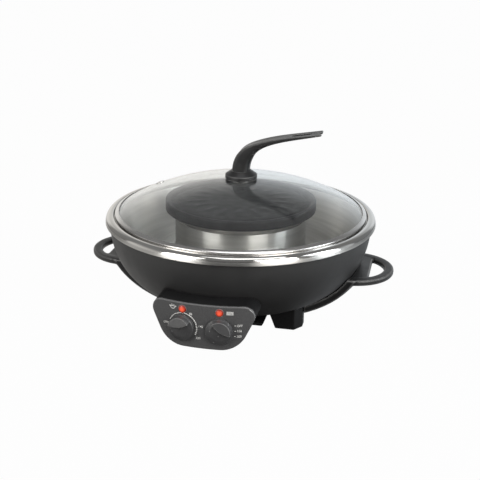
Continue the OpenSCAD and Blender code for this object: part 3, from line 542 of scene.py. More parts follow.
# %% [markdown]
# ## The bowl
#
# The bowl is drawn from one disc of aluminium and coated dark outside. The coating is satin: light
# spreads wide on it, and a faint orange peel breaks up the edge of every highlight. Its tone and
# gloss drift a little from place to place. The screws of the base go into short bosses on its floor.

# %% The coating
bowl_coating = finish_of("bowl_coating", (0.022, 0.022, 0.023), 0.55, Specular_IOR_Level=0.7)
peel = noise(bowl_coating, 420, 3)
tinted(bowl_coating, noise(bowl_coating, 14, 4), (0.013, 0.013, 0.0135), (0.017, 0.017, 0.0175))
roughened(bowl_coating, noise(bowl_coating, 40, 4), 0.5, 0.6)
relief(bowl_coating, peel, 0.02)
relief(bowl_coating, noise(bowl_coating, 2200, 1), 0.008)

# %% The bowl's shell
BOWL_WALL = 3
bowl_outside = [(184, 141.6)] + bezier([(184, 131), (183, 82), (158, 44), (96, 24)], 48)
bowl_inside = shifted(bowl_outside, BOWL_WALL)
bowl_outline = bowl_outside + [(34, 24), (34, 27)] + bowl_inside[::-1]
bowl = turned("bowl", bowl_outline, 320)
eased(bowl, 0.6, 50)


# %% The bosses and holes in the bowl's floor
def standing(x, y):
    """A place in mm from the pot's axis."""
    return pot_axis @ Matrix.Translation((x * MM, y * MM, 0))


SCREW_HOLE = 2.05
WIRE_HOLE = 4.6
FRAME_SCREW_CIRCLE = 62
FOOT_PLACES = [standing(x, y) for x in (-83, 83) for y in (-60, 60)]
frame_angles = [math.radians(a) for a in (30, 150, 210, 330)]
boss_places = [
    standing(FRAME_SCREW_CIRCLE * math.cos(a), FRAME_SCREW_CIRCLE * math.sin(a)) for a in frame_angles
]
boss_places += [standing(x, y) for x in (-93, 93) for y in (-11, 11)]
boss_places += FOOT_PLACES
boss_places.append(standing(40, 40))
boss_outline = [(SCREW_HOLE, 25), (4.8, 25), (4.8, 32.4), (4.2, 33), (SCREW_HOLE, 33)]
for place in boss_places:
    cut(bowl, [bar(SCREW_HOLE, 20, 30, place, 24)])
    cut(bowl, [turned("boss", boss_outline, 32, place)], "UNION")
cut(bowl, [bar(WIRE_HOLE, 20, 30, standing(x, -58), 32) for x in (-11.2, 11.2)])
shade(bowl)
dressed(bowl, bowl_coating, "base", "outer_bowl")

# %% [markdown]
# ## The pot
#
# The pot is spun from bright stainless sheet. Its rim is rolled over the bowl's edge and polished,
# and the channel inside is brushed on the lathe, so every scratch runs round the axis and the
# reflections on the chimney stretch into soft upright stripes.

# %% Brushed and polished steel
RIM_POLISH = 0.08
POLISH_STARTS = 137.2 * MM
POLISH_FULL = 138.2 * MM
stainless = finish_of(
    "stainless", (0.6, 0.59, 0.57), 0.43, 1.0, Anisotropic=1.0, Anisotropic_Rotation=0.25
)
scratches = noise(stainless, 1.0, 3, round_the_axis(stainless, 2600))
bands = noise(stainless, 1.0, 2, round_the_axis(stainless, 160))
tinted(stainless, bands, (0.53, 0.52, 0.5), (0.64, 0.63, 0.61))
brushed = roughened(stainless, scratches, 0.34, 0.42)
relief(stainless, scratches, 0.002)
steel = stainless.node_tree
height = wired(steel, "SeparateXYZ", wired(steel, "TexCoord").outputs["Object"]).outputs["Z"]
on_rim = wired(steel, "MapRange", height, POLISH_STARTS, POLISH_FULL, 0, 1).outputs[0]
polish = wired(steel, "MixRGB", on_rim, brushed, (RIM_POLISH, RIM_POLISH, RIM_POLISH, 1)).outputs[0]
steel.links.new(polish, shader_of(stainless).inputs["Roughness"])
grain = wired(steel, "Tangent", direction_type="RADIAL", axis="Z").outputs["Tangent"]
steel.links.new(grain, shader_of(stainless).inputs["Tangent"])

# %% The pot's rim and channel
SHEET = 1.2
rim_roll = bezier([(190, 133), (190, 138.8), (187.5, 143.2), (182.5, 143.2)], 20)
rim_step = [(180, 143.2), (179.2, 142.9), (178.6, 142.2), (178.2, 139), (177.9, 138.3), (177.2, 138)]
channel = bezier([(169.8, 136.6), (168.5, 104), (158, 84), (138, 84)], 32)
fillet = arc((106.3, 98), 14, -90, -180, 16)
chimney_top = arc((90.8, 150.5), 1.5, 0, 90, 6)
pot_top = rim_roll + rim_step + [(171.4, 138), (170.3, 137.6)] + channel + fillet + chimney_top
pot_top.append((88.5, 152))
pot = turned("pot", pot_top + shifted(pot_top, -SHEET)[::-1], 320)
eased(pot, 0.35, 60, 2)
dressed(pot, stainless, "pot", "pot_liner")

# %% [markdown]
# ## The grill plate
#
# The plate is cast aluminium under a dark non-stick coating. A raised rim keeps the fat in, and a
# ring of soft lobes is cast into the surface between the rim and the middle. Casting rounds
# everything, so the lobes are swells in the surface and not ribs stood on it.

# %% Cast and coated aluminium
plate_coating = finish_of("plate_coating", (0.018, 0.018, 0.019), 0.5, Specular_IOR_Level=0.15)
tinted(plate_coating, noise(plate_coating, 60, 5), (0.01, 0.01, 0.011), (0.015, 0.015, 0.016))
roughened(plate_coating, noise(plate_coating, 90, 4), 0.42, 0.56)
relief(plate_coating, noise(plate_coating, 700, 3), 0.03)

# %% The plate and its lobes
LOBES = 18
LOBE_HEIGHT = 0.8
LOBES_START = 46
LOBE_LENGTH = 32
SURFACE_LOW = 157
CROWN_Z = 159
CROWN = 0.9
rim_line = [(100.9, 148.3), (102, 147.5), (104.9, 147.5), (105.5, 148.3)]
rim_line += arc((103, 158.5), 2.5, 0, 90, 8) + [(101.3, 160.8), (97.5, 156.8), (95.5, 156), (92.5, 156)]
surface = [(90, 157.4), (88, 157.6), (86, 157.8), (84, 158), (82, 158.1)]
surface += [(r, CROWN_Z - CROWN * (r / 82) ** 2) for r in range(80, -1, -2)]
underside = [(0, 152.3), (85, 152.3), (85.6, 148.5), (87.8, 148.5), (87.8, 152.3), (100.2, 152.3)]
plate = turned("plate", [(0, 152.3)] + underside[1:] + rim_line + surface, 360)


def lobe(r, angle):
    """Height in mm of the swell at a place on the plate."""
    outward = (r - LOBES_START) / LOBE_LENGTH
    if not 0 < outward < 1:
        return 0
    side = 0.5 + 0.5 * math.cos(LOBES * angle)
    return LOBE_HEIGHT * math.sin(math.pi * outward) ** 0.7 * side**2


for vertex in plate.data.vertices:
    if vertex.co.z > SURFACE_LOW * MM:
        r = math.hypot(vertex.co.x, vertex.co.y) / MM
        vertex.co.z += lobe(r, math.atan2(vertex.co.y, vertex.co.x)) * MM
eased(plate, 0.5, 40)
dressed(plate, plate_coating, "grill", "grill_plate")

# %% [markdown]
# ## The lid
#
# The lid is a shallow dome of clear tempered glass, four millimetres thick, with its edge held in a
# rolled steel ring. It is modelled as a real solid with two faces, so it bends the light at its
# edge. Real glass casts almost no shadow on what is under it, but a renderer without caustics makes
# one, so the glass is told to cast none.

# %% Glass and bright trim
clear_glass = finish_of("clear_glass", (0.97, 0.985, 0.98), 0.0, Transmission_Weight=1.0, IOR=1.5)
roughened(clear_glass, noise(clear_glass, 8, 2), 0.0, 0.015)
trim_steel = finish_of("trim_steel", (0.62, 0.61, 0.6), 0.2, 1.0)
tinted(trim_steel, noise(trim_steel, 30, 3), (0.57, 0.56, 0.55), (0.66, 0.65, 0.64))
roughened(trim_steel, noise(trim_steel, 1.0, 3, round_the_axis(trim_steel, 1800)), 0.14, 0.24)

# %% The dome and its ring
DOME_RADIUS = 346.7
DOME_CENTRE = 191.8 - DOME_RADIUS
GLASS = 4
GLASS_EDGE = 175
GLASS_HOLE = 3.2
VENT_HOLE = 4
VENT_RADIUS = 133
VENT_HEADING = math.radians(165)


def dome_z(r, depth=0):
    """Height in mm at a radius of the glass's outer face, or of one that deep under it."""
    return DOME_CENTRE + math.sqrt((DOME_RADIUS - depth) ** 2 - r * r)


radii = [GLASS_HOLE + (GLASS_EDGE - GLASS_HOLE) * i / 64 for i in range(65)]
dome_outline = [(r, dome_z(r)) for r in radii] + [(r, dome_z(r, GLASS)) for r in radii[::-1]]
dome = turned("dome", dome_outline, 256)
VENT_PLACE = (
    pot_axis
    @ Matrix.Rotation(VENT_HEADING, 4, "Z")
    @ Matrix.Translation((0, 0, DOME_CENTRE * MM))
    @ Matrix.Rotation(math.asin(VENT_RADIUS / DOME_RADIUS), 4, "Y")
    @ Matrix.Translation((0, 0, DOME_RADIUS * MM))
)
cut(dome, [bar(VENT_HOLE, -7, 3, VENT_PLACE)])
shade(dome, 50)
dressed(dome, clear_glass, "lid", "lid_glass")
dome.visible_shadow = False

# %% The rolled ring that holds the glass
LIP = 171.2
LIP_GAP = 0.2
LIP_FACE = 1.1
lip_top = dome_z(LIP)
lip_under = dome_z(LIP, GLASS)
edge_top = dome_z(GLASS_EDGE)
edge_under = dome_z(GLASS_EDGE, GLASS)
ring_outline = [
    (LIP, lip_top + LIP_GAP), (175.2, edge_top + LIP_GAP), (175.2, edge_under - LIP_GAP),
    (LIP, lip_under - LIP_GAP), (LIP, lip_under - LIP_FACE), (174.6, 138.3), (176.3, 138.3),
    (176.6, 138.6), (176.6, edge_top + 0.4), (176, edge_top + LIP_FACE), (LIP, lip_top + LIP_FACE),
]
lid_ring = turned("lid_ring", ring_outline, 320)
eased(lid_ring, 0.4)
dressed(lid_ring, trim_steel, "lid", "lid_rim")

# %% The steam vent
vent_outline = [(2.2, -5), (2.6, -5.2), (5.6, -5.2), (6, -4.9), (6, -4.3), (3.9, -4.2), (3.9, 0.1)]
vent_outline += [(6, 0.15)] + arc((5.4, 0.6), 0.6, 0, 90, 4) + [(3.2, 1.5), (2.5, 1.1), (2.2, 0.4)]
vent = turned("vent", vent_outline, 64, VENT_PLACE)
dressed(vent, trim_steel, "lid", "vent_grommet")

# %% [markdown]
# ## The black plastic
#
# The handles are moulded in a heat-proof plastic with a fine satin grain. It is black, but it never
# looks black: a wide soft sheen lies over it, and its edges carry a painted highlight that makes
# them a little lighter.

# %% Handle plastic
handle_plastic = finish_of("handle_plastic", (0.012, 0.012, 0.0125), 0.4, Specular_IOR_Level=0.4)
tinted(handle_plastic, noise(handle_plastic, 25, 4), (0.01, 0.01, 0.0105), (0.015, 0.015, 0.0155))
roughened(handle_plastic, noise(handle_plastic, 60, 3), 0.34, 0.46)
relief(handle_plastic, noise(handle_plastic, 1500, 2), 0.012)
# Painted highlight: convex edges of the handles are painted lighter.
paint_edge_highlight_crease_shade(handle_plastic, 0.16, start=0.51, end=0.545)

# %% The collar
LID_SCREW_HOLE = 2.6
COLLAR_LOW = 187.8
COLLAR_TOP = 203.2
COLLAR_GAP = 0.3
collar_outline = [
    (LID_SCREW_HOLE, COLLAR_LOW), (22.3, COLLAR_LOW), (22.3, 196.8), (22, 197.7), (21.1, 198.3),
    (13.9, COLLAR_TOP), (LID_SCREW_HOLE, COLLAR_TOP),
]
collar = turned("collar", collar_outline, 128)
under_collar = arc((0, DOME_CENTRE), DOME_RADIUS + COLLAR_GAP, 84, 90, 40) + [(0, 150), (36, 150)]
cut(collar, [turned("ball", under_collar, 128)])
skinned(collar, 0.6, 2)
dressed(collar, handle_plastic, "lid", "handle_collar")

# %% [markdown]
# The lid's lever grows out of the collar as an upright stem, bends over and thins into a blade. It
# is made by sweeping one cross-section along a curve: dished between two lips on top, steep at the
# sides, and round below, because a hand closes round it from underneath. A slot and a notch are then
# cut with solid prisms, and the skin softens all of it at once.

# %% The lever's spine and section
SPINE = [(0, 202.6), (0, 245.7), (50, 249.5), (111, 262)]
lever_spine = bezier(SPINE, 60)
LEVER_DISH = 1.1
SQUARE = 0.14
ROUND = 0.6


def lever_thickness(t):
    """Thickness in mm from 0 at the collar to 1 at the tip: a blade, plus a stem that fades out."""
    return 9.4 - 5.4 * t**1.5 + 14 / (1 + (t / 0.35) ** 4.5)


def lever_width(t):
    """Width in mm, nearly the same all along."""
    return 26.5 - 0.5 * t


def bulged(value, power):
    """A sine or cosine pushed outwards. The lower the power, the squarer the section."""
    return math.copysign(abs(value) ** power, value)


def lever_section(t, corners=48):
    """(side, rise) points in mm: steep sides, a dished top between two lips and a round underside."""
    section = []
    for i in range(corners):
        a = 2 * math.pi * i / corners
        power = SQUARE if math.sin(a) > 0 else ROUND
        side = lever_width(t) / 2 * bulged(math.cos(a), power)
        dish = LEVER_DISH * max(math.sin(a), 0) * (1 - abs(2 * side / lever_width(t)) ** 5)
        rise = lever_thickness(t) / 2 * bulged(math.sin(a), ROUND) - dish
        section.append((side, rise))
    return section


def swept(name, spine, section_at):
    """A closed solid through one section at each point of a spine in the X-Z plane."""
    shape = bmesh.new()
    rings = []
    for i, (x, z) in enumerate(spine):
        before = spine[max(i - 1, 0)]
        after = spine[min(i + 1, len(spine) - 1)]
        along = Vector((after[0] - before[0], 0, after[1] - before[1])).normalized()
        up = Vector((-along.z, 0, along.x))
        ring = [
            shape.verts.new((Vector((x, side, z)) + rise * up) * MM)
            for side, rise in section_at(i / (len(spine) - 1))
        ]
        rings.append(ring)
    for ring, following in zip(rings, rings[1:]):
        for j in range(len(ring)):
            k = (j + 1) % len(ring)
            shape.faces.new((ring[j], ring[k], following[k], following[j]))
    shape.faces.new(rings[0])
    shape.faces.new(rings[-1])
    bmesh.ops.recalc_face_normals(shape, faces=shape.faces)
    mesh = bpy.data.meshes.new(name)
    shape.to_mesh(mesh)
    shape.free()
    piece = add_piece(name, mesh)
    piece.matrix_world = pot_axis
    return piece


def prism(plan, bottom, top):
    """An upright prism over a plan of (x, y) points in mm about the pot's axis, to cut with."""
    shape = bmesh.new()
    base = shape.faces.new([shape.verts.new((x * MM, y * MM, bottom * MM)) for x, y in plan])
    rise = bmesh.ops.extrude_face_region(shape, geom=[base])["geom"]
    moved = [v for v in rise if isinstance(v, bmesh.types.BMVert)]
    bmesh.ops.translate(shape, verts=moved, vec=(0, 0, (top - bottom) * MM))
    bmesh.ops.recalc_face_normals(shape, faces=shape.faces)
    mesh = bpy.data.meshes.new("prism")
    shape.to_mesh(mesh)
    shape.free()
    piece = add_piece("prism", mesh)
    piece.matrix_world = pot_axis
    return piece


# %% The lever
UNDER_BLADE = 237
OVER_BLADE = 275
SLOT_HALF = 4
slot_plan = arc((73, 0), SLOT_HALF, 90, 270, 12) + arc((93, 0), SLOT_HALF, -90, 90, 12)
notch_plan = [(104, 0), (114, -7.5), (114, 7.5)]
lever = swept("lever", lever_spine, lever_section)
cut(lever, [prism(plan, UNDER_BLADE, OVER_BLADE) for plan in (slot_plan, notch_plan)])
cut(lever, [bar(LID_SCREW_HOLE, 200, 216, pot_axis, 32)])
skinned(lever, 0.5, 4)
dressed(lever, handle_plastic, "lid", "lid_handle")

# %% [markdown]
# The two side handles hug the bowl from below and run out into closed loops. Their shape is right in
# the CAD model, so they are skinned copies of it, with the edges rounded as a mould leaves them.

# %% The side handles
for side in ("left", "right"):
    grip = moulded(f"{side}_grip", f"{side}_handle", 1.2, 6)
    dressed(grip, handle_plastic, "base", f"{side}_handle")

# %% [markdown]
# ## Base, housing and feet
#
# Under the bowl sits a plastic underframe with four tapered feet. The housing of the controls is
# the same plastic. Both carry a slightly coarser grain than the handles, since nobody holds them.

# %% Base plastic
base_plastic = finish_of("base_plastic", (0.006, 0.006, 0.0065), 0.45, Specular_IOR_Level=0.28)
tinted(base_plastic, noise(base_plastic, 20, 4), (0.004, 0.004, 0.0045), (0.008, 0.008, 0.0085))
roughened(base_plastic, noise(base_plastic, 70, 3), 0.45, 0.56)
relief(base_plastic, noise(base_plastic, 1100, 2), 0.02)

# %% The underframe, the housing and the feet
for name, node in (("underframe", "base_frame"), ("housing", "control_housing"), ("legs", "feet")):
    dressed(moulded(name, node, 0.9, 3), base_plastic, "base", node)

# %% The rubber pads under the feet
rubber_black = finish_of("rubber_black", (0.018, 0.018, 0.018), 0.8, Specular_IOR_Level=0.3)
tinted(rubber_black, noise(rubber_black, 120, 4), (0.014, 0.014, 0.014), (0.026, 0.026, 0.025))
relief(rubber_black, noise(rubber_black, 900, 3), 0.04)
pad_outline = [(0, 0.5), (4, 0.5), (4.6, 0), (6.4, 0), (7, 0.5), (7, 2.9), (0, 2.9)]
last_place, *other_places = FOOT_PLACES[::-1]
pads = turned("pads", pad_outline, 48, last_place)
for place in other_places:
    cut(pads, [turned("pad", pad_outline, 48, place)], "UNION")
shade(pads)
dressed(pads, rubber_black, "base", "foot_pads")

# %% [markdown]
# ## The control panel
#
# The panel is a thin curved cover with softly rounded edges. It is easiest to make as a flat blank:
# outline, rounded edge and holes are laid out in the flat, the blank is sliced into narrow strips,
# and then every point is bent back onto the panel's radius. The print is laid on the same way.

# %% Panel plastic
panel_plastic = finish_of("panel_plastic", (0.05, 0.05, 0.052), 0.55, Specular_IOR_Level=0.4)
tinted(panel_plastic, noise(panel_plastic, 900, 3), (0.052, 0.052, 0.054), (0.076, 0.076, 0.078))
roughened(panel_plastic, noise(panel_plastic, 60, 3), 0.5, 0.6)
relief(panel_plastic, noise(panel_plastic, 1000, 2), 0.03)
# Painted highlight along the panel's rounded edges.
paint_edge_highlight_crease_shade(panel_plastic, 0.3)

# %% The panel's outline
PANEL_RADIUS = 206
PANEL_TOP = 85
PANEL_BOTTOM = 25
PANEL_MIDDLE = -5.5
PANEL_LOW_HALF = 46.5
PANEL_SLOPE = 0.475
PANEL_LOW_ROUND = 35
PANEL_HIGH_ROUND = 14
PANEL_THICK = 3
PANEL_EDGE = 1.3
PANEL_HOLE = 5.1
HOLE_CORNERS = 48
KNOB_HEIGHT = 52.5
LAMP_HEIGHT = 76.5
dials = {"hotpot": -8.4, "grill": 5}


def corner(before, at, after, radius, steps=10):
    """An arc that rounds one corner of an outline."""
    at = Vector(at)
    to_before = (Vector(before) - at).normalized()
    to_after = (Vector(after) - at).normalized()
    half = to_before.angle(to_after) / 2
    centre = at + (to_before + to_after).normalized() * radius / math.sin(half)
    first = at + to_before * radius / math.tan(half) - centre
    last = at + to_after * radius / math.tan(half) - centre
    start = math.degrees(math.atan2(first.y, first.x))
    sweep = (math.degrees(math.atan2(last.y, last.x)) - start + 180) % 360 - 180
    return arc(tuple(centre), radius, start, start + sweep, steps)


def panel_outline(inset):
    """The panel's outline in (across, height) mm, moved inwards by the inset."""
    low = PANEL_BOTTOM + inset
    high = PANEL_TOP - inset
    slant = inset * math.sqrt(1 + PANEL_SLOPE**2)
    low_half = PANEL_LOW_HALF + (low - PANEL_BOTTOM) * PANEL_SLOPE - slant
    high_half = PANEL_LOW_HALF + (high - PANEL_BOTTOM) * PANEL_SLOPE - slant
    corners = [(-low_half, low), (low_half, low), (high_half, high), (-high_half, high)]
    outline = []
    for i in range(4):
        rounding = (PANEL_LOW_ROUND if i < 2 else PANEL_HIGH_ROUND) - inset
        outline += corner(corners[i - 1], corners[i], corners[(i + 1) % 4], rounding)
    return [(PANEL_MIDDLE + x, z) for x, z in outline]


# %% Bending a flat blank onto the panel
STRIPS = range(-81, 73, 3)


def bent(shape):
    """Slices a flat mesh of (across, height, proud) points and bends it to the panel's radius."""
    for strip in STRIPS:
        bmesh.ops.bisect_plane(
            shape,
            geom=shape.verts[:] + shape.edges[:] + shape.faces[:],
            plane_co=(strip * MM, 0, 0),
            plane_no=(1, 0, 0),
            dist=0.0001 * MM,
        )
    for vertex in shape.verts:
        across, height, proud = vertex.co
        reach = PANEL_RADIUS * MM + proud
        vertex.co = (across, -math.sqrt(reach * reach - across * across), height)


def stitched(shape, rows):
    """Faces from each closed row of points to the next. Returns the first row and the last."""
    for row, following in zip(rows, rows[1:]):
        for j in range(len(row)):
            k = (j + 1) % len(row)
            shape.faces.new((row[j], row[k], following[k], following[j]))
    return rows[0], rows[-1]


def blank(name, edge_rows, holes):
    """A bent plate: (inset, depth) rows for its edge, and round holes at (across, height) places."""
    shape = bmesh.new()

    def row_of(line, depth):
        """New points along the line, all at that depth."""
        return [shape.verts.new((x * MM, z * MM, depth * MM)) for x, z in line]

    rims = [stitched(shape, [row_of(panel_outline(inset), depth) for inset, depth in edge_rows])]
    back, front = edge_rows[0][1], edge_rows[-1][1]
    for centre in holes:
        rings = ((PANEL_HOLE, back), (PANEL_HOLE, front), (PANEL_HOLE + 0.5, front))
        circles = [(arc(centre, radius, 0, 360, HOLE_CORNERS)[:-1], depth) for radius, depth in rings]
        rims.append(stitched(shape, [row_of(circle, depth) for circle, depth in circles]))
    for end in (0, 1):
        loops = [rim[end] for rim in rims]
        edges = [shape.edges.get((loop[j], loop[j - 1])) for loop in loops for j in range(len(loop))]
        bmesh.ops.triangle_fill(shape, use_beauty=True, edges=edges)
    bent(shape)
    bmesh.ops.recalc_face_normals(shape, faces=shape.faces)
    mesh = bpy.data.meshes.new(name)
    shape.to_mesh(mesh)
    shape.free()
    piece = add_piece(name, mesh)
    piece.matrix_world = pot_axis
    shade(piece, 40)
    return piece


# %% The panel
panel_edge = [(0.9, -PANEL_THICK), (0.3, -2.8), (0, -2.4), (0, -PANEL_EDGE)]
panel_edge += [(PANEL_EDGE - x, z - PANEL_EDGE) for x, z in arc((0, 0), PANEL_EDGE, 0, 90, 6)[1:]]
panel_edge.append((1.9, 0))
dial_across = {name: PANEL_RADIUS * math.sin(math.radians(a)) for name, a in dials.items()}
panel_holes = [(across, z) for across in dial_across.values() for z in (KNOB_HEIGHT, LAMP_HEIGHT)]
panel = blank("panel", panel_edge, panel_holes)
dressed(panel, panel_plastic, "base", "control_face")

# %% [markdown]
# The print is one thin white layer: plain numbers round the dials, an arc of dashes that swells
# towards more heat, ticks, and a mark beside each lamp for the pot and for the grill. All of it is
# drawn flat with strokes and letters, sliced, and bent to stand a hair proud of the panel.

# %% Print
white_print = finish_of("white_print", (0.82, 0.82, 0.8), 0.6)
tinted(white_print, noise(white_print, 1500, 2), (0.7, 0.7, 0.69), (0.88, 0.88, 0.86))
PROUD = 0.05
LETTER_SIZE = 4.2
print_shape = bmesh.new()


def ink(left, right):
    """Faces for one flat stroke that runs between two lines of points in mm."""
    for i in range(len(left) - 1):
        quad = (left[i], left[i + 1], right[i + 1], right[i])
        print_shape.faces.new([print_shape.verts.new((x * MM, z * MM, PROUD * MM)) for x, z in quad])


def label(text, x, z, side="LEFT"):
    """A number or OFF whose left or right edge is at x, centred on height z, in mm."""
    letters = bpy.data.curves.new("label", "FONT")
    letters.body = text
    letters.size = LETTER_SIZE * MM
    letters.align_x = side
    letters.align_y = "CENTER"
    carrier = bpy.data.objects.new("label", letters)
    scene.collection.objects.link(carrier)
    graph = bpy.context.evaluated_depsgraph_get()
    flat = bpy.data.meshes.new_from_object(carrier.evaluated_get(graph))
    bpy.data.objects.remove(carrier)
    flat.transform(Matrix.Translation((x * MM, z * MM, PROUD * MM)))
    print_shape.from_mesh(flat)


def tick(x, z, length, width):
    """A level stroke from x to the right, centred on height z."""
    top, bottom = z + width / 2, z - width / 2
    ink([(x, top), (x + length, top)], [(x, bottom), (x + length, bottom)])


# %% The hot pot's dial
ARC_RADIUS = 18.2
ARC_START = 157
DASHES = 26
DASH_STEP = 7.2
DASH_TURN = 5.4
pot_dial = dial_across["hotpot"]
dial_centre = (pot_dial, KNOB_HEIGHT)
for i in range(DASHES):
    start = ARC_START - DASH_STEP * i
    width = 0.7 + 1.1 * i / DASHES
    inner = arc(dial_centre, ARC_RADIUS, start, start - DASH_TURN, 4)
    outer = arc(dial_centre, ARC_RADIUS + width, start, start - DASH_TURN, 4)
    ink(inner, outer)
label("OFF", pot_dial - 19, KNOB_HEIGHT + 1.6, "RIGHT")
label("80", pot_dial + 9, KNOB_HEIGHT + 18.6)
label("140", pot_dial + 21, KNOB_HEIGHT + 3)
label("220", pot_dial + 17.6, KNOB_HEIGHT - 13.2)

# %% The grill's dial
grill_dial = dial_across["grill"]
for text, rise in (("OFF", 7.4), ("100", 0.2), ("200", -7)):
    tick(grill_dial + 18.9, KNOB_HEIGHT + rise, 1.6, 0.9)
    label(text, grill_dial + 21.6, KNOB_HEIGHT + rise)

# %% The marks beside the lamps: a steaming bowl and a grate
BOWL_MARK = 3.6
LINE = 0.7
STEAM_HALF = 0.25
mark_x = pot_dial - 13
mark_z = LAMP_HEIGHT + 1.2
mark_centre = (mark_x, mark_z + 0.8)
ink(arc(mark_centre, BOWL_MARK, 180, 360, 16), arc(mark_centre, BOWL_MARK - LINE, 180, 360, 16))
tick(mark_x - 5, mark_z + 1, 10, LINE)
for steam_x in (mark_x - 1.6, mark_x, mark_x + 1.6):
    ink(*([(x, mark_z + 2), (x, mark_z + 3.6)] for x in (steam_x - STEAM_HALF, steam_x + STEAM_HALF)))
for bar_z in (-1.8, -0.6, 0.6, 1.8):
    tick(grill_dial + 8.8, LAMP_HEIGHT + bar_z, 8.8, 0.6)

# %% Bending the print onto the panel
bent(print_shape)
print_mesh = bpy.data.meshes.new("print")
print_shape.to_mesh(print_mesh)
print_shape.free()
panel_print = add_piece("print", print_mesh)
panel_print.matrix_world = pot_axis
panel_print.data.materials.append(white_print)
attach(panel_print, "base")
print(f"print: {len(print_mesh.polygons)} faces")

# %% [markdown]
# ## Lamps and knobs
#
# The lamps are red lenses with a neon glow behind them, brightest in the middle. The glow is placed
# by the distance from a point in the lens, so it stays where it is from every side.

# %% Lens
GLOW_SCALE = 190
lamp_red = finish_of("lamp_red", (0.16, 0.012, 0.006), 0.3, Specular_IOR_Level=0.4)
lens_tree = lamp_red.node_tree
stretch = wired(lens_tree, "Mapping", wired(lens_tree, "TexCoord").outputs["Object"])
stretch.inputs["Scale"].default_value = (GLOW_SCALE, GLOW_SCALE, GLOW_SCALE)
spot = wired(lens_tree, "TexGradient", stretch.outputs["Vector"], gradient_type="SPHERICAL")
glow = colours_between(lamp_red, spot.outputs["Fac"], 0.12, (0.08, 0.002, 0.001), 0.5, (1.0, 0.13, 0.06))
lens_tree.links.new(glow, shader_of(lamp_red).inputs["Emission Color"])
shader_of(lamp_red).inputs["Emission Strength"].default_value = 0.85
relief(lamp_red, noise(lamp_red, 600, 2), 0.02)

# %% The two lamps
lens_outline = [(0, -4.6), (6.2, -4.6), (6.2, -3.4), (5, -3.4), (5, 0.5)]
lens_outline += [(4.9, 0.9), (4.6, 1.2)] + bezier([(4.2, 1.3), (3, 2), (1.5, 2.4), (0, 2.4)], 10)


def on_panel(angle, height):
    """A place on the panel whose z points out of it and whose y points up."""
    return (
        pot_axis
        @ Matrix.Rotation(math.radians(angle), 4, "Z")
        @ Matrix.Translation((0, -PANEL_RADIUS * MM, height * MM))
        @ Matrix.Rotation(math.radians(90), 4, "X")
    )


for name, angle in dials.items():
    lens = turned(f"{name}_lens", lens_outline, 64, on_panel(angle, LAMP_HEIGHT))
    dressed(lens, lamp_red, "base", f"{name}_lamp")

# %% [markdown]
# Each knob is a low dome with a raised petal on one side, whose curved edge is the grip. The CAD
# shape is right, and a fine skin rounds its ridge so that it catches a thin light line. A painted
# highlight on the edges adds to that line, and painted shade darkens the creases.

# %% Knob plastic and the knobs
knob_plastic = finish_of("knob_plastic", (0.045, 0.045, 0.047), 0.42, Specular_IOR_Level=0.5)
tinted(knob_plastic, noise(knob_plastic, 50, 3), (0.044, 0.044, 0.046), (0.058, 0.058, 0.06))
roughened(knob_plastic, noise(knob_plastic, 90, 3), 0.36, 0.48)
relief(knob_plastic, noise(knob_plastic, 1800, 2), 0.01)
# Painted highlight on the knobs' edges and painted shade in their creases.
paint_edge_highlight_crease_shade(knob_plastic, 0.2, 0.003, 0.512, 0.55)
for name in dials:
    knob = moulded(f"{name}_grip", f"{name}_knob", 0.45, 4)
    dressed(knob, knob_plastic, f"{name}_control", f"{name}_knob")

# %% [markdown]
# ## What is hidden
#
# The heaters, controls and screws keep their CAD shapes, and the wires get a skin that rounds their
# bends. They show when the pot is lifted out or the base is opened, so each still gets the finish of
# what it is made of.

# %% Finishes of the inner parts
def inner_finish(slot, dark, light, roughness, metallic=0.0, grain=600):
    """A finish whose tone and roughness vary a little, with fine relief."""
    finish = finish_of(slot, light, roughness, metallic)
    tinted(finish, noise(finish, grain / 10, 4), dark, light)
    roughened(finish, noise(finish, grain / 5, 3), roughness * 0.85, min(roughness * 1.15, 1))
    relief(finish, noise(finish, grain, 2), 0.015)
    return finish


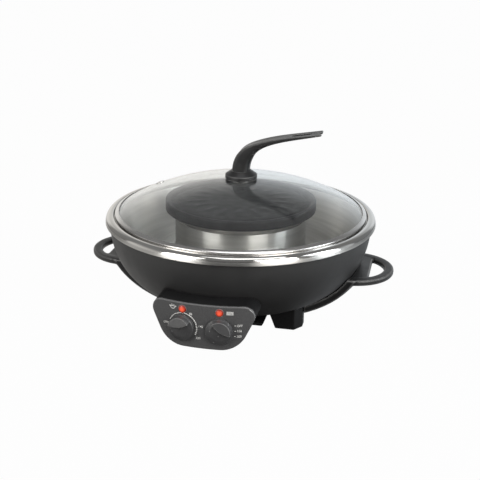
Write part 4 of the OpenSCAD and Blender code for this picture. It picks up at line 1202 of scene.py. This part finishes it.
finishes = {f.name: f for f in (
    bowl_coating, stainless, plate_coating, clear_glass, trim_steel, handle_plastic, base_plastic,
    panel_plastic, knob_plastic, lamp_red, rubber_black,
    inner_finish("silicone", (0.04, 0.04, 0.04), (0.06, 0.06, 0.06), 0.6),
    inner_finish("screw_steel", (0.42, 0.42, 0.43), (0.56, 0.56, 0.56), 0.3, 1.0),
    inner_finish("brass_parts", (0.55, 0.4, 0.17), (0.7, 0.54, 0.27), 0.28, 1.0),
    inner_finish("heater_steel", (0.07, 0.06, 0.055), (0.16, 0.14, 0.12), 0.5, 0.8, 900),
    inner_finish("sheet_aluminium", (0.62, 0.62, 0.63), (0.76, 0.76, 0.77), 0.3, 1.0),
    inner_finish("copper_tube", (0.55, 0.27, 0.16), (0.72, 0.42, 0.28), 0.3, 1.0),
    inner_finish("control_body", (0.6, 0.57, 0.49), (0.72, 0.69, 0.61), 0.5),
    inner_finish("block_nylon", (0.78, 0.78, 0.73), (0.86, 0.86, 0.82), 0.4),
    inner_finish("wire_sleeve", (0.4, 0.07, 0.04), (0.52, 0.12, 0.08), 0.6),
    inner_finish("wire_blue", (0.04, 0.1, 0.32), (0.07, 0.15, 0.42), 0.6),
    inner_finish("wire_brown", (0.16, 0.07, 0.03), (0.24, 0.12, 0.06), 0.6),
    inner_finish("neon_glass", (0.9, 0.5, 0.35), (0.95, 0.6, 0.42), 0.1),
)}

# %% Softened wires
slot_of = {part["node"]: part["material_slot"] for part in frame["record"]["subparts"]}
for wire in ("capillary_tube", "heater_leads", "control_leads", "supply_leads"):
    dressed(moulded(wire + "_run", wire, 0.4, 5), finishes[slot_of[wire]], "base", wire)

# %% Painting the nodes that stay
kept = [name for name, node in nodes.items() if not node.hide_render]
for name in kept:
    nodes[name].data.materials.clear()
    nodes[name].data.materials.append(finishes[slot_of[name]])
print(len(kept), "CAD nodes keep their shape:", ", ".join(kept))

# %% [markdown]
#
# The dressing is meant to leave the object's size as it is. The CAD model's box and the dressed
# model's box are printed side by side, so that the two can be compared.

# %% Sizes and the last line
dressed_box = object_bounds()
for label_text, (low, high) in (("CAD", cad_box), ("dressed", dressed_box)):
    print(label_text, [round(v / MM, 2) for v in (*low, *high)])
